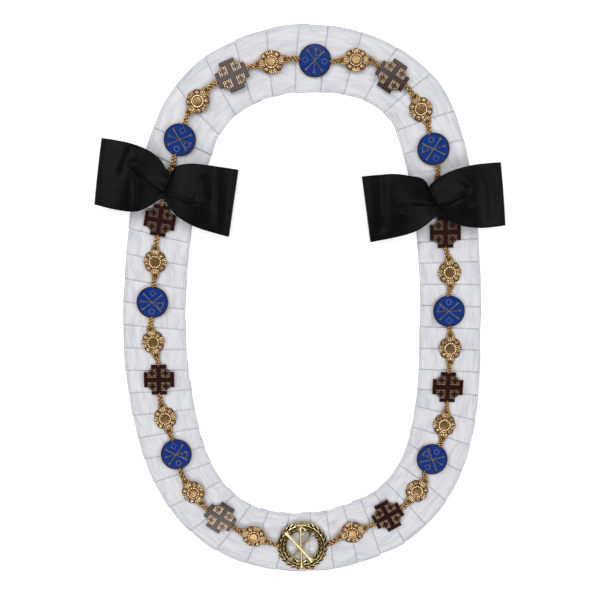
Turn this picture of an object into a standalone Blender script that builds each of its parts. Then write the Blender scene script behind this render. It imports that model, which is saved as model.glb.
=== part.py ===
"""Regalia collar: a pleated ribbon loop, a chain of enamelled plates sewn along it, a wreath badge, two bows.

Metres, +Z up. The collar lies flat and is seen from above, with +Y towards its top edge and +X to the right.
Stations run clockwise round the loop from the middle of its top edge, as shares of its length.
"""
import math

import bmesh
import bpy
import numpy as np
from mathutils import Matrix, Vector

# Ribbon loop
LOOP_ACROSS = 0.2755
LOOP_UP = 0.4530
RIBBON_WIDTH = 0.0570
RIBBON_THICKNESS = 0.0016
PLEAT_RISE = 0.0010

# Centreline of the ribbon, clockwise: shares of half LOOP_ACROSS, half LOOP_UP and RIBBON_WIDTH
LOOP_ROUTE = (
    # across, up, width
    (0.00, 1.00, 1.02),
    (0.26, 0.99, 0.98),
    (0.51, 0.94, 0.94),
    (0.71, 0.845, 0.95),
    (0.83, 0.705, 0.98),
    (0.90, 0.55, 0.985),
    (0.98, 0.235, 0.985),
    (1.00, -0.10, 0.99),
    (0.98, -0.435, 1.015),
    (0.92, -0.60, 1.015),
    (0.805, -0.755, 1.01),
    (0.615, -0.88, 1.02),
    (0.365, -0.955, 1.03),
    (0.095, -0.995, 1.015),
    (-0.185, -0.99, 0.995),
    (-0.45, -0.94, 0.98),
    (-0.67, -0.835, 0.98),
    (-0.82, -0.695, 1.00),
    (-0.91, -0.53, 1.02),
    (-0.995, -0.20, 1.02),
    (-0.985, 0.135, 1.00),
    (-0.915, 0.455, 1.01),
    (-0.85, 0.61, 1.01),
    (-0.74, 0.755, 1.01),
    (-0.575, 0.875, 1.01),
    (-0.35, 0.955, 1.005),
)

# Knife pleats, clockwise from the first fold: how many, their pitch, and how far the outer end of a fold leads
# its inner end; pitch and lean are shares of the mean pitch
FIRST_FOLD = 0.0163
PLEAT_RUNS = (
    # pleats, pitch, lean
    (2, 1.14, 0.12),
    (2, 1.28, 0.20),
    (1, 1.07, 0.22),
    (4, 0.94, 0.12),
    (8, 0.885, 0.11),
    (2, 0.96, 0.22),
    (2, 1.13, 0.36),
    (5, 0.89, 0.20),
    (6, 1.07, 0.30),
    (9, 0.885, 0.22),
    (6, 0.97, 0.28),
    (1, 1.32, 0.08),
    (1, 1.31, 0.55),
    (4, 1.08, 0.38),
)

# Small fittings: the gap that loose parts keep, jump rings, and the round loops that they pass through
FIT_GAP = 0.0003
WIRE = 0.0009
RING_HEIGHT = 0.0039
RING_TILT = math.radians(30)
SOLDER_BITE = 0.00015
EYELET_WIDTH = 0.0061
EYELET_HOLE = 0.0031
EYELET_THICKNESS = 0.0010
TAB_WIDTH = 0.0037
TAB_HOLE = 0.0023
TAB_THICKNESS = 0.0009
TAB_STANDOFF = 0.0011

# Cast rosette
ROSETTE_WIDTH = 0.0208
ROSETTE_HEIGHT = 0.0042
ROSETTE_NOTCH = 0.93
EYELET_SEAT = 0.0007
ROSETTE_RELIEF = (
    # reach as a share of the radius, then heights as shares of ROSETTE_HEIGHT: palmette, between, dome
    (0.30, 0.90, 0.86, 0.90),
    (0.74, 0.66, 0.34, 0.76),
    (1.00, 0.62, 0.28, 0.38),
)

# Enamelled medallion
MEDALLION_WIDTH = 0.0278
MEDALLION_THICKNESS = 0.0026
MEDALLION_RIM = 0.0010
ENAMEL_DROP = 0.0004
MONOGRAM_LINE = 0.0012
MONOGRAM_ARM = 0.0108
MONOGRAM_STEM = 0.0101
MONOGRAM_LOOP = 0.0046

# Enamelled cross plate
CROSS_WIDTH = 0.0276
CROSS_THICKNESS = 0.0024
CROSS_RELIEF = 0.0003
CROSS_BAR = 0.0040
CROSS_LIP = 0.0002
# One corner of the plate, from the top arm to the right arm, as shares of half CROSS_WIDTH
CROSS_CORNER = ((0.49, 1.00), (0.49, 0.74), (0.58, 0.74), (0.74, 0.58), (0.74, 0.49), (1.00, 0.49))
CROSS_ARM_INSET = 0.755
CROSS_HEAD_HALF = 0.465

# Wreath badge
WREATH_WIDTH = 0.0478
WREATH_BAND = 0.0087
WREATH_EDGE = 0.0016
WREATH_CREST = 0.0034
WREATH_BARB = 0.0011
LEAVES_PER_SIDE = 8
BADGE_LINE = 0.0022
BADGE_FLARE = 0.0044
BADGE_BAR_TOP = 0.0030
# Bars of the badge's monogram, as shares of half WREATH_WIDTH
BADGE_BARS = (
    # start across, start up, end across, end up
    (-0.12, 0.72, -0.05, -1.08),
    (-0.72, 0.44, 0.39, -0.71),
    (0.52, 0.46, -0.60, -0.73),
)
BADGE_LOOP = ((-0.08, 0.64), (0.06, 0.67), (0.16, 0.54), (0.12, 0.38), (-0.08, 0.29))

# Bows
WING_REACH = 0.0613
BOW_HALF = 0.0285
BOW_CLOTH = 0.0012
BOW_DEPTH = 0.0125
BOW_DROP = 0.0026
KNOT_WIDTH = 0.0060
KNOT_RISE = 0.42
KNOT_MARGIN = 1.08
FOLD_BULGE = 0.0028
# Plan of each wing from the gathered middle outwards: reaches as shares of WING_REACH, heights as shares of
# BOW_HALF, the front's rise as a share of BOW_DEPTH and the back's fall as a share of BOW_DROP
WING_PLANS = {
    # top reach, top, bottom reach, bottom, front, back
    "left_outer": (
        (-0.03, 0.58, -0.01, -0.21, 0.30, 0.0),
        (0.15, 0.90, 0.15, -0.54, 0.66, 0.0),
        (0.32, 1.12, 0.32, -0.80, 0.92, 0.15),
        (0.58, 1.19, 0.58, -0.86, 1.00, 0.55),
        (1.00, 1.12, 0.91, -0.91, 0.42, 1.0),
    ),
    "left_inner": (
        (0.05, 0.58, 0.02, -0.21, 0.30, 0.0),
        (0.15, 0.86, 0.15, -0.44, 0.66, 0.0),
        (0.32, 1.00, 0.32, -0.68, 0.92, 0.15),
        (0.58, 1.10, 0.58, -0.82, 1.00, 0.55),
        (1.00, 1.14, 1.065, -0.93, 0.42, 1.0),
    ),
    "right_inner": (
        (0.09, 0.56, -0.03, -0.38, 0.30, 0.0),
        (0.20, 0.80, 0.15, -0.57, 0.66, 0.0),
        (0.34, 0.92, 0.32, -0.75, 0.92, 0.15),
        (0.58, 1.05, 0.58, -0.86, 1.00, 0.55),
        (1.02, 1.06, 0.99, -0.95, 0.42, 1.0),
    ),
    "right_outer": (
        (-0.07, 0.56, 0.05, -0.38, 0.30, 0.0),
        (0.13, 0.88, 0.18, -0.57, 0.66, 0.0),
        (0.32, 1.01, 0.34, -0.77, 0.92, 0.15),
        (0.58, 1.07, 0.58, -0.88, 1.00, 0.55),
        (0.99, 1.03, 0.98, -0.915, 0.42, 1.0),
    ),
}
BOWS = (
    # name, station, offset outwards as a share of RIBBON_WIDTH, turn in degrees, left wing, right wing
    ("bow_right", 0.1710, -0.144, 6.2, "right_inner", "right_outer"),
    ("bow_left", 0.8438, 0.007, -13.0, "left_outer", "left_inner"),
)

# The chain, clockwise: each link's station, its offset outwards as a share of RIBBON_WIDTH, its turn in degrees
CHAIN = (
    # kind, station, offset, turn
    ("medallion", 0.0093, -0.049, -4),
    ("rosette", 0.0394, 0.044, 15),
    ("cross", 0.0680, 0.052, -1),
    ("rosette", 0.0998, 0.032, 0),
    ("medallion", 0.1305, -0.003, 0),
    ("rosette", 0.1621, -0.034, 0),
    ("cross", 0.1937, -0.037, -5),
    ("rosette", 0.2246, -0.013, 1),
    ("medallion", 0.2543, -0.032, 2),
    ("rosette", 0.2835, 0.000, 0),
    ("cross", 0.3138, -0.020, 1),
    ("rosette", 0.3440, 0.016, 4),
    ("medallion", 0.3730, -0.020, -8),
    ("rosette", 0.4015, 0.016, -1),
    ("cross", 0.4320, -0.036, -5),
    ("rosette", 0.4636, -0.026, 0),
    ("wreath", 0.5034, 0.020, 0),
    ("rosette", 0.5436, -0.004, -4),
    ("cross", 0.5743, -0.017, 5),
    ("rosette", 0.6040, 0.015, 2),
    ("medallion", 0.6375, -0.017, -3),
    ("rosette", 0.6675, -0.003, 2),
    ("cross", 0.6986, -0.019, -6),
    ("rosette", 0.7281, 0.020, 9),
    ("medallion", 0.7591, 0.025, -2),
    ("rosette", 0.7901, 0.014, 4),
    ("cross", 0.8217, 0.005, -1),
    ("rosette", 0.8530, -0.045, 0),
    ("medallion", 0.8842, 0.000, 5),
    ("rosette", 0.9150, 0.062, 0),
    ("cross", 0.9462, 0.026, -5),
    ("rosette", 0.9769, -0.004, -2),
)
LINK_NAMES = {
    "medallion": "medallion_{:d}",
    "cross": "cross_plate_{:d}",
    "rosette": "rosette_{:02d}",
    "wreath": "wreath_badge",
}

# Sides of the round forms
SPOKES = 16
DISC_SIDES = 16
EYE_SIDES = 8
TAB_SIDES = 6
RING_STEPS = 8
WIRE_SIDES = 5
ROUTE_STEPS = 12

RIBBON_TOP = RIBBON_THICKNESS + PLEAT_RISE
LINK_BACK = RIBBON_TOP + FIT_GAP
RING_HALF = (RING_HEIGHT - WIRE) / 2
RING_RISE = RING_HALF * math.cos(RING_TILT) + WIRE / 2
EYELET_REACH = (ROSETTE_WIDTH + EYELET_WIDTH) / 2 - EYELET_SEAT
BOW_REST = LINK_BACK + ROSETTE_HEIGHT + FIT_GAP


def clear_scene():
    for item in list(bpy.data.objects):
        bpy.data.objects.remove(item, do_unlink=True)


def principled(name, colour, roughness, metallic):
    material = bpy.data.materials.new(name)
    material.use_nodes = True
    shader = material.node_tree.nodes["Principled BSDF"]
    shader.inputs["Base Color"].default_value = (*colour, 1.0)
    shader.inputs["Roughness"].default_value = roughness
    shader.inputs["Metallic"].default_value = metallic
    return material


def add_object(name, bm, smooth_degrees=None):
    """Object from a closed bmesh, faces turned outwards."""
    bmesh.ops.recalc_face_normals(bm, faces=bm.faces)
    mesh = bpy.data.meshes.new(name)
    bm.to_mesh(mesh)
    bm.free()
    if smooth_degrees is not None:
        mesh.shade_smooth()
        mesh.set_sharp_from_angle(angle=math.radians(smooth_degrees))
    item = bpy.data.objects.new(name, mesh)
    bpy.context.collection.objects.link(item)
    return item


def fuse(name, solids, smooth_degrees):
    """One solid from overlapping ones, which are then removed."""
    body = solids[0]
    for extra in solids[1:]:
        union = body.modifiers.new("union", "BOOLEAN")
        union.operation = "UNION"
        union.solver = "EXACT"
        union.object = extra
    view = bpy.context.evaluated_depsgraph_get()
    mesh = bpy.data.meshes.new_from_object(body.evaluated_get(view))
    mesh.name = name
    for solid in solids:
        bpy.data.objects.remove(solid, do_unlink=True)
    mesh.shade_smooth()
    mesh.set_sharp_from_angle(angle=math.radians(smooth_degrees))
    item = bpy.data.objects.new(name, mesh)
    bpy.context.collection.objects.link(item)
    return item


def prism(outline, low, high):
    """Solid with a plan outline between two heights."""
    bm = bmesh.new()
    floor = [bm.verts.new((x, y, low)) for x, y in outline]
    roof = [bm.verts.new((x, y, high)) for x, y in outline]
    bm.faces.new(floor)
    bm.faces.new(roof)
    for i in range(len(outline)):
        j = (i + 1) % len(outline)
        bm.faces.new((floor[i], floor[j], roof[j], roof[i]))
    return add_object("prism", bm)


def ring_solid(rows):
    """Closed solid from closed rows of points: each row joins the next, and the last joins the first."""
    bm = bmesh.new()
    verts = [[bm.verts.new(point) for point in row] for row in rows]
    for a, row in enumerate(verts):
        after = verts[(a + 1) % len(verts)]
        for i in range(len(row)):
            j = (i + 1) % len(row)
            bm.faces.new((row[i], row[j], after[j], after[i]))
    return bm


def circle(radius, sides, centre=(0.0, 0.0), turn=0.0):
    step = 2 * math.pi / sides
    return [(centre[0] + radius * math.cos(turn + i * step), centre[1] + radius * math.sin(turn + i * step))
            for i in range(sides)]


def eye(centre, width, hole, thickness, sides):
    """Flat round loop with a hole, level with the jump rings."""
    turn = math.pi / sides
    outer = circle(width / 2, sides, centre, turn)
    inner = circle(hole / 2, sides, centre, turn)
    low = RING_RISE - thickness / 2
    high = RING_RISE + thickness / 2
    rows = (
        [(x, y, low) for x, y in outer],
        [(x, y, high) for x, y in outer],
        [(x, y, high) for x, y in inner],
        [(x, y, low) for x, y in inner],
    )
    return add_object("eye", ring_solid(rows))


def route_samples():
    """Smooth closed centreline: stations in 0 to 1, then x, y and width at each, and the loop's length."""
    knots = np.array([(a * LOOP_ACROSS / 2, u * LOOP_UP / 2, w * RIBBON_WIDTH) for a, u, w in LOOP_ROUTE])
    count = len(knots)
    chord = np.array([math.dist(knots[i][:2], knots[(i + 1) % count][:2]) for i in range(count)])
    slopes = []
    for i in range(count):
        before, ahead = knots[i - 1], knots[(i + 1) % count]
        step_in, step_out = chord[i - 1], chord[i]
        slopes.append((ahead - knots[i]) / step_out - (ahead - before) / (step_in + step_out)
                      + (knots[i] - before) / step_in)
    points = []
    for i in range(count):
        start, end = knots[i], knots[(i + 1) % count]
        leave, arrive = slopes[i] * chord[i], slopes[(i + 1) % count] * chord[i]
        for k in range(ROUTE_STEPS):
            t = k / ROUTE_STEPS
            points.append(start * (2 * t ** 3 - 3 * t ** 2 + 1) + leave * (t ** 3 - 2 * t ** 2 + t)
                          + end * (3 * t ** 2 - 2 * t ** 3) + arrive * (t ** 3 - t ** 2))
    points.append(points[0])
    points = np.array(points)
    steps = np.hypot(*np.diff(points[:, :2], axis=0).T)
    reached = np.concatenate(([0.0], np.cumsum(steps)))
    return reached / reached[-1], points, reached[-1]


STATIONS, ROUTE, LOOP_LENGTH = route_samples()


def on_route(station):
    """Point, direction and width of the ribbon's centreline at a station."""
    def read(share):
        return [float(np.interp(share % 1.0, STATIONS, ROUTE[:, k])) for k in range(3)]
    x, y, width = read(station)
    near, far = read(station - 0.002), read(station + 0.002)
    along = Vector((far[0] - near[0], far[1] - near[1])).normalized()
    return Vector((x, y)), along, width


def outwards(along):
    return Vector((-along.y, along.x))


def fold_lines():
    """Station and lean of every fold, clockwise."""
    total = sum(count * pitch for count, pitch, lean in PLEAT_RUNS)
    pleats = sum(count for count, pitch, lean in PLEAT_RUNS)
    folds = []
    reached = FIRST_FOLD
    for count, pitch, lean in PLEAT_RUNS:
        for _ in range(count):
            folds.append((reached, lean / pleats))
            reached += pitch / total
    return folds


def pleated_ribbon(material):
    """Flat closed band whose top steps up at each fold and dips under the next one."""
    bm = bmesh.new()
    columns = []
    for station, lean in fold_lines():
        edges = []
        for side in (-1, 1):
            point, along, width = on_route(station + side * lean / 2)
            x, y = point + outwards(along) * side * width / 2
            edges.append([bm.verts.new((x, y, z)) for z in (0.0, RIBBON_THICKNESS, RIBBON_TOP)])
        columns.append(edges)
    for i, (inner, outer) in enumerate(columns):
        inner_next, outer_next = columns[(i + 1) % len(columns)]
        bm.faces.new((inner[0], inner_next[0], outer_next[0], outer[0]))
        bm.faces.new((inner[2], inner_next[1], outer_next[1], outer[2]))
        bm.faces.new((inner[1], inner[2], outer[2], outer[1]))
        bm.faces.new((inner[0], inner_next[0], inner_next[1], inner[2], inner[1]))
        bm.faces.new((outer[0], outer_next[0], outer_next[1], outer[2], outer[1]))
    ribbon = add_object("pleated_ribbon", bm)
    ribbon.data.materials.append(material)
    return ribbon


def rosette_body():
    """Cast boss with four domes and four palmettes, a polar relief on a flat back."""
    bm = bmesh.new()
    crown = bm.verts.new((0.0, 0.0, ROSETTE_HEIGHT))
    rows = []
    for reach, palmette, between, dome in ROSETTE_RELIEF:
        row = []
        for spoke in range(SPOKES):
            angle = 2 * math.pi * spoke / SPOKES
            height = (palmette, between, dome, between)[spoke % 4]
            notch = ROSETTE_NOTCH if spoke % 2 and reach == 1.0 else 1.0
            radius = reach * notch * ROSETTE_WIDTH / 2
            row.append(bm.verts.new((radius * math.cos(angle), radius * math.sin(angle), height * ROSETTE_HEIGHT)))
        rows.append(row)
    back = [bm.verts.new((vert.co.x, vert.co.y, 0.0)) for vert in rows[-1]]
    for i in range(SPOKES):
        j = (i + 1) % SPOKES
        bm.faces.new((crown, rows[0][i], rows[0][j]))
        for inside, outside in zip(rows, rows[1:] + [back]):
            bm.faces.new((inside[i], outside[i], outside[j], inside[j]))
    bm.faces.new(back)
    return add_object("rosette_body", bm)


def jump_ring(near, far):
    """Oval wire ring from one hole's place to another's, leaning about the line between them."""
    line = far - near
    along = line.normalized()
    side = Vector((-along.y, along.x, 0.0))
    rise = Vector((0.0, 0.0, math.cos(RING_TILT))) + side * math.sin(RING_TILT)
    across = along.cross(rise)
    middle = (near + far) / 2
    straight = line.length / 2 - RING_HALF
    corner = RING_HALF / math.cos(math.pi / RING_STEPS)
    rows = []
    for i in range(RING_STEPS):
        angle = 2 * math.pi * (i + 0.5) / RING_STEPS
        spread = math.copysign(straight, math.cos(angle))
        core = middle + along * (spread + corner * math.cos(angle)) + rise * corner * math.sin(angle)
        away = along * math.cos(angle) + rise * math.sin(angle)
        rows.append([core + (away * math.cos(turn) + across * math.sin(turn)) * WIRE / 2
                     for turn in (2 * math.pi * k / WIRE_SIDES for k in range(WIRE_SIDES))])
    return add_object("jump_ring", ring_solid(rows))


def link_place(link):
    """Centre of a link in plan and the angle of its long axis."""
    kind, station, offset, turn = link
    point, along, _ = on_route(station)
    return point + outwards(along) * offset * RIBBON_WIDTH, math.atan2(along.y, along.x) + math.radians(turn)


def hole_reach(kind):
    """Distance from a link's centre to the holes at its two ends."""
    half = {"medallion": MEDALLION_WIDTH, "cross": CROSS_WIDTH, "wreath": WREATH_WIDTH}
    return EYELET_REACH if kind == "rosette" else half[kind] / 2 + TAB_STANDOFF


def hole_place(link, end):
    centre, angle = link_place(link)
    reach = end * hole_reach(link[0])
    return centre + Vector((math.cos(angle), math.sin(angle))) * reach


def rosette(name, index, material):
    """Rosette with its two eyelets, and a jump ring through each that holds the neighbour's loop."""
    link = CHAIN[index]
    centre, angle = link_place(link)
    to_local = Matrix.Rotation(-angle, 2)
    parts = [rosette_body()]
    for end in (-1, 1):
        near = Vector((end * EYELET_REACH, 0.0))
        parts.append(eye(near, EYELET_WIDTH, EYELET_HOLE, EYELET_THICKNESS, EYE_SIDES))
        neighbour = CHAIN[(index + end) % len(CHAIN)]
        far = to_local @ (hole_place(neighbour, -end) - centre)
        along = (far - near).normalized()
        start = near + along * (EYELET_HOLE / 2 - WIRE / 2 + SOLDER_BITE)
        finish = far + along * WIRE / 6
        parts.append(jump_ring(start.to_3d() + Vector((0, 0, RING_RISE)), finish.to_3d() + Vector((0, 0, RING_RISE))))
    body = fuse(name, parts, 40)
    body.data.materials.append(material)
    return body


def end_tabs(kind):
    reach = hole_reach(kind)
    return [eye((end * reach, 0.0), TAB_WIDTH, TAB_HOLE, TAB_THICKNESS, TAB_SIDES) for end in (-1, 1)]


def bar_outline(start, end, line):
    """Straight bar with square ends."""
    run = Vector((end[0] - start[0], end[1] - start[1])).normalized()
    side = Vector((-run.y, run.x)) * line / 2
    start, end = Vector(start), Vector(end)
    return [tuple(start + side), tuple(start - side), tuple(end - side), tuple(end + side)]


def flared_outline(start, end, line, flare):
    """Bar that widens towards both ends, like a trumpet."""
    start, end = Vector(start), Vector(end)
    run = (end - start).normalized()
    side = Vector((-run.y, run.x))
    throat = run * flare
    points = [start + side * flare / 2, start + throat + side * line / 2, end - throat + side * line / 2,
              end + side * flare / 2, end - side * flare / 2, end - throat - side * line / 2,
              start + throat - side * line / 2, start - side * flare / 2]
    return [tuple(point) for point in points]


def hook_outline(points, line):
    """Band of even width along an open run of points."""
    points = [Vector(point) for point in points]
    left, right = [], []
    for i, point in enumerate(points):
        run = (points[min(i + 1, len(points) - 1)] - points[max(i - 1, 0)]).normalized()
        side = Vector((-run.y, run.x)) * line / 2
        left.append(tuple(point + side))
        right.append(tuple(point - side))
    return left + right[::-1]


def medallion(name, up, material):
    """Enamel disc in a thin rim, with a raised chi and rho whose top points up or down the local Y axis."""
    radius = MEDALLION_WIDTH / 2
    inside = radius - MEDALLION_RIM
    floor = MEDALLION_THICKNESS - ENAMEL_DROP
    bm = bmesh.new()
    rows = []
    for reach, height in ((radius, 0.0), (radius, MEDALLION_THICKNESS), (inside, MEDALLION_THICKNESS), (inside, floor)):
        rows.append([bm.verts.new((x, y, height)) for x, y in circle(reach, DISC_SIDES)])
    for low, high in zip(rows, rows[1:]):
        for i in range(DISC_SIDES):
            j = (i + 1) % DISC_SIDES
            bm.faces.new((low[i], low[j], high[j], high[i]))
    bm.faces.new(rows[0])
    bm.faces.new(rows[-1])
    solids = [add_object("disc", bm)]
    slope = math.radians(49)
    arm = (MONOGRAM_ARM * math.cos(slope), up * MONOGRAM_ARM * math.sin(slope))
    stem = up * MONOGRAM_STEM
    loop = MONOGRAM_LOOP
    hook = [(0.0, stem - up * loop * 0.1), (up * loop * 0.45, stem - up * loop * 0.15),
            (up * loop * 0.5, stem - up * loop * 0.85), (0.0, stem - up * loop * 0.9)]
    outlines = (
        bar_outline((-arm[0], -arm[1]), arm, MONOGRAM_LINE),
        bar_outline((arm[0], -arm[1]), (-arm[0], arm[1]), MONOGRAM_LINE),
        bar_outline((0.0, -stem), (0.0, stem), MONOGRAM_LINE),
        hook_outline(hook, MONOGRAM_LINE * 0.7),
    )
    relief = MEDALLION_THICKNESS - ENAMEL_DROP / 4
    for depth, outline in enumerate(outlines):
        solids.append(prism(outline, floor / 2, relief - depth * ENAMEL_DROP / 12))
    body = fuse(name, solids + end_tabs("medallion"), 40)
    body.data.materials.append(material)
    return body


def turned_corners(corner):
    """Closed outline from one corner's points and its three quarter turns, clockwise."""
    outline = []
    for quarter in range(4):
        for x, y in corner:
            for _ in range(quarter):
                x, y = y, -x
            outline.append((x, y))
    return outline


def cross_plate(name, material):
    """Plate in the outline of a cross potent over a square, with the cross itself raised in enamel."""
    half = CROSS_WIDTH / 2
    plate = prism(turned_corners([(x * half, y * half) for x, y in CROSS_CORNER]), 0.0, CROSS_THICKNESS)
    reach = half - CROSS_LIP
    bar = CROSS_BAR / 2
    inset = CROSS_ARM_INSET * half
    head = CROSS_HEAD_HALF * half
    corner = [(head, reach), (head, inset), (bar, inset), (bar, bar), (inset, bar), (inset, head), (reach, head)]
    enamel = prism(turned_corners(corner), CROSS_THICKNESS / 2, CROSS_THICKNESS + CROSS_RELIEF)
    body = fuse(name, [plate, enamel] + end_tabs("cross"), 30)
    body.data.materials.append(material)
    return body


def wreath_ring():
    """Laurel ring: barbed edges and a raised vein, leaf after leaf from the foot up both sides."""
    stations = []
    for side in (1, -1):
        leaves = range(LEAVES_PER_SIDE) if side == 1 else reversed(range(LEAVES_PER_SIDE))
        for leaf in leaves:
            phases = (0.0, 0.5, 0.94) if side == 1 else (0.94, 0.5, 0.0)
            for phase in phases:
                angle = -math.pi / 2 + side * math.pi * (leaf + phase + 0.03) / LEAVES_PER_SIDE
                stations.append((angle, phase))
    outer = WREATH_WIDTH / 2
    inner = outer - WREATH_BAND
    vein = (outer + inner) / 2
    rows = []
    for angle, phase in stations:
        spread = (
            (inner + WREATH_BARB * (0.6 - phase), 0.0),
            (inner + WREATH_BARB * (0.6 - phase), WREATH_EDGE * (1 + phase / 3)),
            (vein, WREATH_CREST * (0.75 + phase / 4)),
            (outer - WREATH_BARB * (1 - phase), WREATH_EDGE * (1 + phase / 3)),
            (outer - WREATH_BARB * (1 - phase), 0.0),
        )
        rows.append([(r * math.cos(angle), r * math.sin(angle), z) for r, z in spread])
    return add_object("wreath_ring", ring_solid(rows))


def wreath_badge(name, material):
    """Pierced laurel wreath over a chi and rho, made upright and turned so that its top faces inwards."""
    half = WREATH_WIDTH / 2
    solids = [wreath_ring()]
    for step, (x0, y0, x1, y1) in enumerate(BADGE_BARS):
        outline = flared_outline((x0 * half, y0 * half), (x1 * half, y1 * half), BADGE_LINE, BADGE_FLARE)
        low = WREATH_EDGE / 4 + step * WREATH_EDGE / 16
        solids.append(prism(outline, low, BADGE_BAR_TOP + step * BADGE_BAR_TOP / 16))
    hook = hook_outline([(x * half, y * half) for x, y in BADGE_LOOP], BADGE_LINE * 0.8)
    solids.append(prism(hook, WREATH_EDGE / 3, BADGE_BAR_TOP * 0.9))
    body = fuse(name, solids + end_tabs("wreath"), 35)
    body.data.transform(Matrix.Rotation(math.pi, 4, "Z"))
    body.data.materials.append(material)
    return body


def cloth_wall(grid, thickness):
    """Closed wall of even thickness on an open grid of points."""
    grid = np.array(grid)
    rows_on, columns_on = np.gradient(grid, axis=0), np.gradient(grid, axis=1)
    normal = np.cross(rows_on, columns_on)
    normal /= np.linalg.norm(normal, axis=2, keepdims=True)
    bm = bmesh.new()
    skins = []
    for side in (-1, 1):
        skin = grid + normal * side * thickness / 2
        skins.append([[bm.verts.new(point) for point in row] for row in skin])
    last_row, last_column = grid.shape[0] - 1, grid.shape[1] - 1
    for a in range(last_row):
        for b in range(last_column):
            for skin in skins:
                bm.faces.new((skin[a][b], skin[a + 1][b], skin[a + 1][b + 1], skin[a][b + 1]))
    back, front = skins
    for a in range(last_row):
        for b in (0, last_column):
            bm.faces.new((back[a][b], back[a + 1][b], front[a + 1][b], front[a][b]))
    for b in range(last_column):
        for a in (0, last_row):
            bm.faces.new((back[a][b], back[a][b + 1], front[a][b + 1], front[a][b]))
    return add_object("cloth_wall", bm)


def bow_wing(plan, side):
    """One hollow loop of ribbon: the front from the middle out, round the end fold, and the back to the middle."""
    def edge(row, height, inset=0.0):
        top_reach, top, bottom_reach, bottom = row[:4]
        low = Vector((side * (bottom_reach * WING_REACH - inset), bottom * BOW_HALF, height))
        high = Vector((side * (top_reach * WING_REACH - inset), top * BOW_HALF, height))
        return [low, (low + high) / 2, high]

    end = plan[-1]
    front = [edge(row, row[4] * BOW_DEPTH, FOLD_BULGE if row is end else 0.0) for row in plan]
    back = [edge(row, BOW_CLOTH / 2 + FIT_GAP - row[5] * BOW_DROP, FOLD_BULGE if row is end else 0.0) for row in plan]
    fold = edge(end, (front[-1][0].z + back[-1][0].z) / 2, BOW_CLOTH / 2)
    return cloth_wall([[tuple(point) for point in row] for row in front + [fold] + back[::-1]], BOW_CLOTH)


def bow_knot(inner_plan, outer_plan):
    """Gathered middle of a bow, a rounded block that both wings run into and that leans as they do."""
    half = KNOT_WIDTH / 2
    top = KNOT_RISE * BOW_DEPTH
    outline = [(-half, 0.0), (half, 0.0), (half, top - half * 0.6), (0.0, top), (-half, top - half * 0.6)]
    left, right = inner_plan[0], outer_plan[0]
    ends = []
    for reach, height in ((2, 3), (0, 1)):
        lean = (right[reach] - left[reach]) / 2 * WING_REACH
        ends.append([(x + lean, left[height] * BOW_HALF * KNOT_MARGIN, z) for x, z in outline])
    bm = bmesh.new()
    low, high = ([bm.verts.new(point) for point in row] for row in ends)
    for i in range(len(outline)):
        j = (i + 1) % len(outline)
        bm.faces.new((low[i], low[j], high[j], high[i]))
    bm.faces.new(low)
    bm.faces.new(high)
    return add_object("bow_knot", bm)


def bow(name, left_plan, right_plan, material):
    left, right = WING_PLANS[left_plan], WING_PLANS[right_plan]
    body = fuse(name, [bow_knot(left, right), bow_wing(left, -1), bow_wing(right, 1)], 50)
    body.data.materials.append(material)
    return body


def stand(item, place, height, angle):
    item.location = (place.x, place.y, height)
    item.rotation_euler = (0.0, 0.0, angle)


def build_chain(materials):
    """Every link in its place, numbered clockwise by kind."""
    counts = dict.fromkeys(LINK_NAMES, 0)
    for index, link in enumerate(CHAIN):
        kind = link[0]
        counts[kind] += 1
        name = LINK_NAMES[kind].format(counts[kind])
        if kind == "rosette":
            item = rosette(name, index, materials["gilt"])
        elif kind == "medallion":
            item = medallion(name, 1 if index == 0 else -1, materials["blue_enamel"])
        elif kind == "cross":
            item = cross_plate(name, materials["maroon_enamel"])
        else:
            item = wreath_badge(name, materials["antique_gilt"])
        place, angle = link_place(link)
        stand(item, place, LINK_BACK, angle)


def build_bows(material):
    for name, station, offset, turn, left_plan, right_plan in BOWS:
        point, along, _ = on_route(station)
        stand(bow(name, left_plan, right_plan, material), point + outwards(along) * offset * RIBBON_WIDTH,
              BOW_REST, math.radians(turn))


def centre_on_origin():
    """Bring the middle of the whole collar's underside to the origin."""
    bpy.context.view_layer.update()
    corners = np.array([item.matrix_world @ vert.co for item in bpy.data.objects for vert in item.data.vertices])
    low, high = corners.min(axis=0), corners.max(axis=0)
    for item in bpy.data.objects:
        item.location.x -= (low[0] + high[0]) / 2
        item.location.y -= (low[1] + high[1]) / 2
        item.location.z -= low[2]
    bpy.context.view_layer.update()


def main():
    clear_scene()
    materials = {
        "white_moire": principled("white_moire", (0.68, 0.68, 0.73), 0.55, 0.0),
        "black_moire": principled("black_moire", (0.010, 0.010, 0.013), 0.6, 0.0),
        "gilt": principled("gilt", (0.72, 0.50, 0.22), 0.25, 1.0),
        "antique_gilt": principled("antique_gilt", (0.55, 0.42, 0.16), 0.35, 1.0),
        "blue_enamel": principled("blue_enamel", (0.012, 0.045, 0.30), 0.2, 0.0),
        "maroon_enamel": principled("maroon_enamel", (0.045, 0.008, 0.012), 0.2, 0.0),
    }
    pleated_ribbon(materials["white_moire"])
    build_chain(materials)
    build_bows(materials["black_moire"])
    centre_on_origin()


main()
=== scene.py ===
"""Dressed order collar: pleated moire ribbon, two bows and the chain of enamelled and gilt links."""
import math

import bpy
import numpy as np
from mathutils import Euler, Matrix, Vector


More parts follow.
